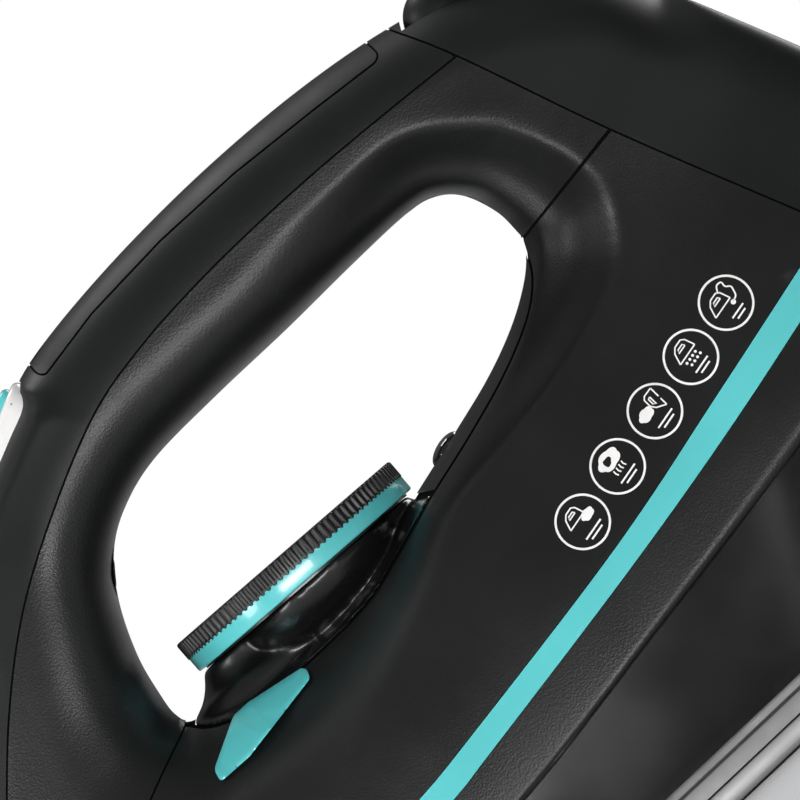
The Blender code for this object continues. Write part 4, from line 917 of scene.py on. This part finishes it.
def control_deck(deck):
    """Glossy deck with a bowl that carries the dial."""

    def ring(h, middle, reach, half, power):
        x0, _, z0 = dial_at(h)
        spots = []
        for c, s in circle(1.0, 96):
            x = middle + reach * abs(c) ** power * math.copysign(1, c)
            y = half * abs(s) ** power * math.copysign(1, s)
            spots.append((x0 + x * math.cos(DIAL_TILT), y, z0 - x * math.sin(DIAL_TILT)))
        return spots

    bowl = loft("bowl", [ring(h, BOWL_SHIFT, a, b, BOWL_POWER) for h, a, b in BOWL])
    neck = [ring(h, (a + b) / 2, (b - a) / 2, half, NECK_POWER) for h, a, b, half in NECK]
    cut(bowl, loft("neck", neck), "UNION", exact=True)
    cut(bowl, envelope("deck_inside", AROUND // 2, ACROSS // 2, DECK_WALL), exact=True)
    cut(deck, bowl, "UNION", exact=True)
    modified(deck, "REMESH", mode="VOXEL", voxel_size=DECK_VOXEL * MM)
    modified(deck, "SMOOTH", factor=0.5, iterations=DECK_PASSES)
    cut(deck, rod("shaft_bore", dial_at(-30), dial_at(5), SHAFT_R + 0.3), exact=True)
    add(deck, GLOSS_BLACK, "control_deck", 50)


def dial():
    """Washer under the dial, coloured ring, knurled knob and its marks."""
    seat = [(3.0, -0.4), (24.6, -0.4), (24.6, -0.05), (3.0, -0.05), (3.0, -0.4)]
    add(lathe("dial_seat", seat, dial_at(0), DIAL_AXIS), GLOSS_BLACK, "control_deck", replaces=False)
    rim = DIAL_RADIUS
    ring = [(3.2, 0.0), (rim - 0.1, 0.0), (rim - 0.1, 3.6), (3.2, 3.6)]
    ring = rounded(ring, 0.45, 4, closed=False) + [ring[0]]
    add(lathe("dial_ring_skin", ring, dial_at(0), DIAL_AXIS, 180), TEAL, "dial_ring")
    turn = upright(dial_at(0), DIAL_AXIS)
    top, face = KNOB_TOP, KNOB_TOP - FACE_DROP
    profile = (  # radius, height, and how far the ridges move each of them
        (3.0, 3.75, 0, 0), (rim - 0.02, 3.75, 0, 0), (rim - 0.02, 3.1, 0, 1), (rim + 0.04, 3.0, 1, 1),
        (rim + 0.06, 3.3, 1, 0), (rim + 0.06, top - 0.5, 1, 0), (rim - 0.06, top - 0.16, 1, 0),
        (rim - 0.4, top, 0.5, 0), (rim - 2.0, top, 0, 0), (rim - 3.0, top - 0.5, 0, 0),
        (rim - 5.0, face, 0, 0), (12.0, face, 0, 0), (10.4, top - 0.3, 0, 0), (9.4, top - 0.05, 0, 0),
        (4.0, top - 0.1, 0, 0),
    )
    bm = bmesh.new()
    rows = []
    for r, h, ridge, wave in profile:
        row = []
        for c, s in circle(1.0, RIDGES * (8)):
            tooth = 0.5 + 0.5 * math.cos(RIDGES * math.atan2(s, c))
            valley = KNURL * (1 - float(smooth(tooth * 1.6 - 0.3)))
            reach = r - ridge * valley
            spot = Vector((reach * c, reach * s, h + wave * valley))
            row.append(bm.verts.new(turn @ (spot * MM)))
        rows.append(row)
    stack(bm, rows)
    add(mesh_object("dial_knob_skin", bm), KNURL_BLACK, "dial_knob", 40)
    marks(turn, face)


def marks(turn, height):
    """Heat marks on the dial: a band that widens towards hot, and dots beside it."""
    bm = bmesh.new()

    def patch(points):
        sheets = []
        for h in (height - 0.1, height + 0.05):
            sheets.append([bm.verts.new(turn @ Vector((x * MM, y * MM, h * MM))) for x, y in points])
        stack(bm, sheets)

    def polar(radius, angle):
        return (radius * math.cos(angle), radius * math.sin(angle))

    for k in range(MARK_STEPS):
        shares = [(k + d) / MARK_STEPS for d in (0, 1)]
        a, b = [MARK_START + (MARK_END - MARK_START) * share for share in shares]
        wide, wider = [MARK_R + 0.15 + 1.5 * share for share in shares]
        patch([polar(MARK_R, a), polar(wide, a), polar(wider, b), polar(MARK_R, b)])
    for group, angle in ((1, 95), (2, 15), (3, -65)):
        for d in range(group):
            middle = polar(MARK_DOT_R, math.radians(angle + (d - (group - 1) / 2) * 6.5))
            patch(circle(MARK_DOT, 16, *middle))
    add(mesh_object("dial_marks", bm), PRINT, "dial_knob", replaces=False)


def pilot_light():
    turns = np.linspace(0.05, math.pi / 2, 12)[:-1]
    profile = [(0, -4.0), (LENS_R, -4.0), (LENS_R, -0.2)]
    profile += [(LENS_R * math.cos(a), 1.8 * math.sin(a) - 0.1) for a in turns]
    profile.append((0, 1.7))
    axis = (-math.sin(LENS_TILT), 0, math.cos(LENS_TILT))
    add(lathe("pilot_light_lens_skin", profile, LENS_AT(0, 0, 0), axis), SMOKED, "pilot_light_lens")


def steam_slider():
    """Faceted wedge that slides over the shoulder, with its leg through the wall."""
    outline = rounded(TAB, 0.9, 4)
    edge = np.array(outline + outline[:1])

    def outer(x, z):
        run = x - (TAB_RIDGE - (z - TAB_MIDDLE_Z) * 0.2)
        facets = TAB_HEIGHT + np.minimum(TAB_FRONT_RISE * run, -TAB_REAR_FALL * run)
        lift = np.minimum(facets, TAB_HEIGHT - 0.35 - 0.05 * (z - TAB_MIDDLE_Z))
        d, _ = away_from(edge, x, z)
        raised = half_width(x, z) / SAFE + lift
        return np.maximum(raised, inner(x, z) + TAB_THINNEST) - 0.75 * (1 - quarter_round(d / 0.9))

    def inner(x, z):
        """Clear of the widest part of the shoulder that the tab passes."""
        way = np.linspace(0, TAB_TRAVEL, 9)
        passed = [half_width(x + TAB_WAY[0] * d, z + TAB_WAY[1] * d) for d in way]
        return np.max(passed, axis=0) / SAFE + TAB_CLEAR

    tab = field_slab("steam_slider_skin", outline, outer, inner, 0.25)
    leg = box_between("tab_leg", (TAB_LEG_X, -26.0, 62.0), (TAB_LEG_X + TAB_LEG, -22.9, 76.0))
    cut(leg, envelope("leg_limit", AROUND // 2, ACROSS // 2, -0.9), "INTERSECT", exact=True)
    cut(tab, leg, "UNION", exact=True)
    add(tab, TEAL, "steam_slider", 9)


# ---- buttons, filler and spray


def buttons():
    """White surround with the steam shot key and the spray key in it."""
    bezel = pad("button_bezel_skin", BUTTONS_AT, (BEZEL_MIDDLE, 0), BEZEL_U, BEZEL_Y, 5.5, -4.4, 1.9, 1.2)
    three = [(-3.0, 0.0), (0.0, 0.0), (3.0, 0.0)]
    fan = [(-2.6, 0.0), (0.0, -0.9), (0.0, 0.9), (2.6, -1.6), (2.6, 1.6)]
    for name, y, drops in (("steam_shot", -PUMP_Y, three), ("spray", PUMP_Y, fan)):
        middle = (CAP_MIDDLE, y)
        hole = pad(name + "_hole", BUTTONS_AT, middle, CAP_U + 0.3, CAP_Y + 0.25, 3.3, -20.0, 20.0, 0.02)
        cut(bezel, hole)
        cap = pad(name + "_button_skin", BUTTONS_AT, middle, CAP_U, CAP_Y, 2.7, -3.0, 3.3, 1.1, 0.55)
        stem = rod(name + "_stem", BUTTONS_AT(0, y, -14.5), BUTTONS_AT(0, y, -2.5), 1.4)
        cut(cap, stem, "UNION", exact=True)
        add(cap, TEAL, name + "_button", 40)
        symbol(name, drops, middle)
    add(bezel, WHITE, "button_bezel", 40)


def symbol(name, drops, middle):
    """Small raised droplets on a key."""
    bm = bmesh.new()
    for u, v in drops:
        oval = [(u + middle[0] + 0.75 * c, v + middle[1] + 0.45 * s) for c, s in circle(1.0, 16)]
        stack(bm, [[bm.verts.new(world(*BUTTONS_AT(a, b, n))) for a, b in oval] for n in (3.88, 3.5)])
    add(mesh_object(name + "_symbol", bm), PRINT, name + "_button", replaces=False)


def filler():
    """Lid cut from the wall, with the barrel of its hinge."""
    lid = envelope("fill_cap_skin", AROUND, ACROSS)
    cut(lid, envelope("lid_inner", AROUND // 2, ACROSS // 2, LINER[1]))
    cut(lid, slope_prism("lid_region", LID_AT, (-12.0, 12.0), (-9.0, 6.0), 6.6), "INTERSECT")
    for half, radius, operation in ((5.0, 1.7, "UNION"), (8.0, 1.0, "DIFFERENCE")):
        a, b = LID_AT(HINGE_U, -half, HINGE_N), LID_AT(HINGE_U, half, HINGE_N)
        cut(lid, rod("lid_hinge", a, b, radius, 24), operation, exact=True)
    add(lid, SMOKED, "fill_cap")


def spray_nozzle():
    turns = np.linspace(0.2, math.pi / 2, 5)
    profile = [(0, -7.0), (NOZZLE_R, -7.0), (NOZZLE_R, 1.1)]
    profile += [(NOZZLE_R - 0.9 * (1 - math.cos(a)), 1.1 + 0.9 * math.sin(a)) for a in turns]
    profile += [(1.2, 2.0), (0.9, 1.7), (0.8, 0.5), (0, 0.4)]
    seat = NOZZLE_AT(0, 0, 0)
    made = lathe("spray_nozzle_skin", profile, seat, Vector(NOZZLE_AT(0, 0, 1)) - Vector(seat))
    add(made, WHITE, "spray_nozzle")


# ---- soleplate, skirt and heel


def sole_half_width(share):
    """Half the soleplate's width at a share of its length from the nose."""
    shares = [0, 0.008, 0.03, 0.08, 0.16, 0.28, 0.42, 0.56, SOLE_WIDEST]
    widths = [0, 2.8, 7.6, 15.4, 25.4, 37.6, 47.6, 53.0, SOLE_HALF]
    share = np.asarray(share, float)
    rear = np.clip((share - SOLE_WIDEST) / (1 - SOLE_WIDEST), 0, 1)
    return eased(share, shares, widths) * (1 - rear**2.7) ** 0.46


def moved_in(half, by, nose, rear):
    """Half ring moved inwards in plan; its two ends stay on the middle line."""
    moved = half.copy()
    moved[:, :2] += normals(half[:, :2]) * by
    moved[0] = half[0]
    moved[-1] = half[-1]
    moved[0, 0] += nose
    moved[-1, 0] -= rear
    return moved


def kept_right(half):
    """Keeps a half ring on its side of the middle line, between its ends."""
    half[1:-1, 0] = np.clip(half[1:-1, 0], half[0, 0] + 0.01, half[-1, 0] - 0.01)
    half[1:-1, 1] = np.minimum(half[1:-1, 1], -0.05)
    return half


def both_sides(half):
    mirror = half[1:-1][::-1] * np.array([1, -1, 1])
    return np.concatenate([half, mirror])


def sole_outline(inset, count):
    """Right-hand half of the soleplate's plan outline, nose to rear, moved in by inset."""
    front = SOLE_WIDEST * (1 - np.cos(np.linspace(0, 1, count // 2) * math.pi / 2) ** 0.8)
    turn = np.linspace(0, 1, count - len(front) + 1)[1:] * math.pi / 2
    shares = np.concatenate([front, SOLE_WIDEST + (1 - SOLE_WIDEST) * np.sin(turn) ** 0.8])
    x = SOLE_NOSE_X + shares * (SOLE_REAR_X - SOLE_NOSE_X)
    half = moved_in(np.stack([x, -sole_half_width(shares)], 1), inset, inset * 1.6, inset)
    half[[0, -1], 1] = 0
    return half


def plan_ring(inset, z, count):
    half = kept_right(sole_outline(inset, count))
    return both_sides(np.insert(half, 2, z, axis=1))


def soleplate():
    """Ironing face with its steam holes, and the casting above it."""
    count = 160
    edge = 1.1
    turns = np.linspace(math.pi / 2, 0, 5)
    rows = [(edge * (1 - math.cos(a)), edge - edge * math.sin(a)) for a in turns]
    rows += [(0.0, FACE_TOP - 0.35), (0.12, FACE_TOP - 0.1), (0.4, FACE_TOP)]
    face = loft("soleplate_face_skin", [plan_ring(i, z, count) for i, z in rows])
    lip = [(0, -0.4), (2.3, -0.4), (1.5, 0.45), (0, 0.45)]
    for x, y in steam_holes():
        cut(face, rod("hole", (x, y, -1), (x, y, 5.5), 1.6, 20))
        cut(face, lathe("hole_lip", lip, (x, y, 0), (0, 0, 1), 20))
    add(face, SOLE, "soleplate_face")
    rows = [(0.6, 4.3), (0.6, 7.0), (0.75, 7.35), (1.1, 7.5), (5.2, 7.6), (5.5, 7.9)]
    rows += [(5.5, 12.2), (6.0, 12.6)]
    casting = loft("soleplate_casting_skin", [plan_ring(i, z, count) for i, z in rows])
    add(casting, CAST, "soleplate_casting")


def steam_holes():
    spots = []
    for x0, x1, share, number in ((-112.0, 36.0, 0.6, 5), (-70.0, 10.0, 0.28, 3)):
        for x in np.linspace(x0, x1, number):
            y = float(sole_half_width((x - SOLE_NOSE_X) / (SOLE_REAR_X - SOLE_NOSE_X))) * share
            spots += [(x, -y), (x, y)]
    return spots


def skirt():
    """Flared glossy band between the soleplate and the body, open above and below."""
    low = sole_outline(-0.9, 180)
    low[:, 0] += 5.0 * np.exp(-(low[:, 0] - low[0, 0]) / 12.0)
    x = SKIRT_NOSE + (SKIRT_REAR - SKIRT_NOSE) * (low[:, 0] - low[0, 0]) / (low[-1, 0] - low[0, 0])
    z = np.interp(x, LOWER_FINE[:, 0], LOWER_FINE[:, 1])
    close = (1 - np.clip((x - 46) / (SKIRT_REAR - 46), 0, 1) ** 2.7) ** 0.5
    inset = SKIRT_INSET + 1.3 * np.exp(-(x - x[0]) / 25.0)
    y = -np.maximum(half_width(x, z + 3.0) - inset, 0) * (0.02 + 0.98 * close)
    y[[0, -1]] = 0
    z = z + np.interp(x, [50, 62], [0.9, 0.2])
    rings = []
    for f in np.linspace(0, 1, 14):
        px = low[:, 0] + (x - low[:, 0]) * f
        py = low[:, 1] + (y - low[:, 1]) * f**0.9
        pz = SKIRT_BOTTOM + (z - SKIRT_BOTTOM) * f
        rings.append(np.stack([px, py, pz], 1))
    wall = SKIRT_WALL
    rings += [kept_right(moved_in(ring, wall, wall * 1.4, wall)) for ring in rings[::-1]]
    rings = [both_sides(half) for half in rings]
    made = loft("skirt_skin", rings + rings[:1], cap=False)
    modified(made, "WELD", merge_threshold=0.00001)
    add(made, SKIRT_BLACK, "skirt", 60)


def cord_gland():
    """Ball and ribbed sleeve; the cord itself is left out."""
    r = GLAND_R
    turns = np.linspace(math.radians(38), math.radians(128), 16)
    profile = [(CORD_R, -r * math.cos(math.radians(34)))]
    profile += [(r * math.sin(a), -r * math.cos(a)) for a in turns]
    h = profile[-1][1] + 0.8
    while h < GLAND_LENGTH - 2.0:
        wide = 6.0 - 1.3 * (h - 6.0) / 20.0
        waist = wide - (0.9 if h > 9.0 else 0)
        profile += [(wide, h), (wide, h + 1.2), (waist, h + 1.5), (waist, h + 2.3)]
        h += 2.6
    profile += [(4.6, GLAND_LENGTH - 0.5), (4.3, GLAND_LENGTH), (CORD_R, GLAND_LENGTH), profile[0]]
    axis = (math.cos(GLAND_AXIS), 0, math.sin(GLAND_AXIS))
    made = lathe("cord_swivel_skin", profile, (GLAND_PIVOT[0], 0, GLAND_PIVOT[1]), axis)
    add(made, SATIN_BLACK, "cord_swivel")


# ---- printed badges


def stroke(points, width, closed=False):
    """Flat strip along a polyline, as quads."""
    p = np.array(points, float)
    if closed:
        t = np.roll(p, -1, 0) - np.roll(p, 1, 0)
    else:
        t = np.gradient(p, axis=0)
    t /= np.linalg.norm(t, axis=1)[:, None] + 1e-12
    n = np.stack([-t[:, 1], t[:, 0]], 1) * width / 2
    a, b = p + n, p - n
    last = len(p) if closed else len(p) - 1
    return [[a[k], a[(k + 1) % len(p)], b[(k + 1) % len(p)], b[k]] for k in range(last)]


def dot(u, v, r):
    return [circle(r, 12, u, v)]


def small_iron(u, v, size, turn=0.0):
    """Outline of an iron with its handle opening."""
    sole = [(-1.0, -0.55), (1.0, -0.55)]
    back = [(1.0, -0.55), (0.86, 0.35), (0.62, 0.6), (-0.1, 0.6)]
    front = [(-0.1, 0.6), (-0.55, 0.3), (-1.0, -0.55)]
    hole = [(0.5, 0.05), (0.42, 0.28), (-0.12, 0.28), (-0.34, 0.05), (0.5, 0.05)]
    c, s = math.cos(turn), math.sin(turn)
    shapes = []
    for line in (sole, back, front, hole):
        shapes += stroke([((a * c - b * s) * size + u, (a * s + b * c) * size + v) for a, b in line], 0.28)
    return shapes


def cloud(u, v, size):
    t = np.linspace(0, 2 * math.pi, 48, endpoint=False)
    reach = size * (0.86 + 0.14 * abs(np.sin(2.5 * t + 0.4)))
    return [np.stack([u + 1.15 * reach * np.cos(t), v + 0.75 * reach * np.sin(t)], 1)]


def plain_bars(v, half):
    """Two short bars where a caption would be."""
    lower = v - 0.85
    return stroke([(-half, v), (half, v)], 0.34) + stroke([(-half * 0.7, lower), (half * 0.7, lower)], 0.34)


def badge_shapes(kind):
    """Ring with a generic pictogram and two bars in it."""
    shapes = stroke(circle(BADGE_R, 72), BADGE_LINE, True)
    if kind == "steam_burst":
        shapes += small_iron(-0.5, 2.0, 2.1) + cloud(1.7, 0.1, 1.35) + plain_bars(-2.4, 2.3)
    elif kind == "steady_steam":
        shapes += cloud(0.0, 2.0, 2.35)
        for u in (-1.2, -0.4, 0.4, 1.2):
            shapes += stroke([(u, 0.1), (u - 0.15, -0.5), (u, -1.1)], 0.26)
        shapes += plain_bars(-2.3, 2.2)
    elif kind == "upright_steam":
        shapes += small_iron(1.5, 1.2, 2.1, math.radians(80)) + cloud(-1.5, 0.9, 1.6)
        shapes += plain_bars(-2.3, 2.2)
    elif kind == "rinse":
        shapes += small_iron(0.0, 2.0, 2.3)
        for u in (-1.4, -0.5, 0.4, 1.3):
            shapes += dot(u, -0.1, 0.28) + dot(u + 0.3, -1.0, 0.28)
        shapes += plain_bars(-2.4, 1.9)
    else:
        shapes += small_iron(-1.1, 1.2, 2.3)
        lead = [(0.7, 2.4), (1.6, 3.2), (2.6, 2.9), (2.4, 1.9), (3.0, 1.0), (2.6, 0.0)]
        shapes += stroke(spline(lead + [(2.1, -0.7), (1.2, -0.9)], 30), 0.3) + dot(0.9, -1.0, 0.5)
        shapes += plain_bars(-2.6, 1.7)
    return shapes


def badges():
    """Thin printed marks that follow the side of the body."""
    c, s = math.cos(BADGE_TILT), math.sin(BADGE_TILT)
    for number, (kind, (x, z)) in enumerate(BADGES, 1):
        bm = bmesh.new()
        for shape in badge_shapes(kind):
            spots = np.array([(x + u * c - v * s, z + u * s + v * c) for u, v in shape])
            side = half_width(spots[:, 0], spots[:, 1])
            sheets = []
            for lift in (0.05, -0.15):
                sheets.append([bm.verts.new(world(a, -(y + lift), b)) for (a, b), y in zip(spots, side)])
            stack(bm, sheets)
        add(mesh_object(f"badge_{number}_{kind}", bm), PRINT, "body_shell", replaces=False)


# ---- studio


SKY_LOW, SKY_HIGH = 0.02, 0.24
LIGHT_AIM = (0.02, 0, 0.08)
LIGHTS = {  # place, size and watts
    "overhead": ((-0.03, 0.5, 1.2), (0.4, 0.4), 4),
    "nose_side": ((-1.0, -0.8, 0.4), (0.3, 0.6), 6),
    "heel_side": ((0.6, -1.3, 0.5), (0.1, 0.6), 0.7),
    "nose_high": ((-0.95, -0.05, 1.05), (0.3, 0.3), 4),
    "back_fill": ((1.0, 1.1, 0.6), (0.7, 0.5), 7),
    "front_low": ((-0.1, -1.5, 0.1), (0.9, 0.2), 13),
}
LENS, SENSOR = 1000.0, 36.0
FRAME_WIDTH = 0.148
FRAME_CENTRE = (16.2, 96.6)  # side view, millimetres
ROLL = math.radians(43.3)
NEAR_SIDE = 0.03


def staged(name, data=None):
    """New light or camera that belongs to the studio."""
    obj = bpy.data.objects.new(name, data)
    bpy.context.scene.collection.objects.link(obj)
    return obj


def area_light(name, place, size, energy):
    light = bpy.data.lights.new(name, "AREA")
    light.shape = "RECTANGLE"
    light.size, light.size_y = size
    light.energy = energy
    obj = staged(name, light)
    obj.location = place
    obj.rotation_mode = "QUATERNION"
    obj.rotation_quaternion = (Vector(LIGHT_AIM) - Vector(place)).to_track_quat("-Z", "Y")
    obj.visible_camera = False


def surround():
    """Soft sky, brighter upwards; the camera itself sees plain white."""
    world_data = bpy.data.worlds.new("studio")
    world_data.use_nodes = True
    bpy.context.scene.world = world_data
    tree = world_data.node_tree
    background = tree.nodes["Background"]
    background.inputs["Color"].default_value = (1, 1, 1, 1)
    coords, split, sky, seen, pick = [
        tree.nodes.new("ShaderNode" + kind)
        for kind in ("TexCoord", "SeparateXYZ", "MapRange", "LightPath", "Mix")
    ]
    sky.interpolation_type = "SMOOTHSTEP"
    preset(sky, From_Min=-0.05, From_Max=0.95, To_Min=SKY_LOW, To_Max=SKY_HIGH)
    pick.inputs[3].default_value = 1.0
    for a, b in (
        (coords.outputs["Generated"], split.inputs[0]), (split.outputs["Z"], sky.inputs["Value"]),
        (seen.outputs["Is Camera Ray"], pick.inputs[0]), (sky.outputs["Result"], pick.inputs[2]),
        (pick.outputs[0], background.inputs["Strength"]),
    ):
        tree.links.new(a, b)


def floor():
    made = Finish("floor_finish", (0.76, 0.76, 0.77), 0.6)
    made.bump(made.noise(40.0, 3.0), 0.05, 0.0005)
    finish = made.done((0.76, 0.76, 0.77), 0.0, 0.99, 1.01, 0.05, 3.0)
    bm = bmesh.new()
    bmesh.ops.create_circle(bm, cap_ends=True, segments=96, radius=14.0)
    obj = mesh_object("floor", bm)
    obj.data.materials.append(finish)
    obj.location.z = -0.0004


def camera():
    """Square on to the right side, rolled so that the iron stands nose down."""
    data = bpy.data.cameras.new("camera")
    data.lens = LENS
    data.sensor_width = SENSOR
    data.clip_end = 100.0
    data.dof.use_dof = False
    right = Vector((math.cos(ROLL), 0, -math.sin(ROLL)))
    up = Vector((math.sin(ROLL), 0, math.cos(ROLL)))
    back = right.cross(up)
    turn = Matrix((right, up, back)).transposed().to_4x4()
    distance = FRAME_WIDTH * LENS / SENSOR + NEAR_SIDE
    turn.translation = world(FRAME_CENTRE[0], 0, FRAME_CENTRE[1]) + back * distance
    obj = staged("camera", data)
    obj.matrix_world = turn
    bpy.context.scene.camera = obj


# ---- all of it


def build():
    bpy.context.scene.view_settings.view_transform = "Standard"
    for name, node in frame["nodes"].items():
        node.data.materials.clear()
        node.data.materials.append(BY_SLOT[SLOTS[name]])
    control_deck(shells())
    dial()
    pilot_light()
    steam_slider()
    buttons()
    filler()
    spray_nozzle()
    soleplate()
    skirt()
    cord_gland()
    badges()
    surround()
    floor()
    for name, values in LIGHTS.items():
        area_light(name, *values)
    camera()


build()
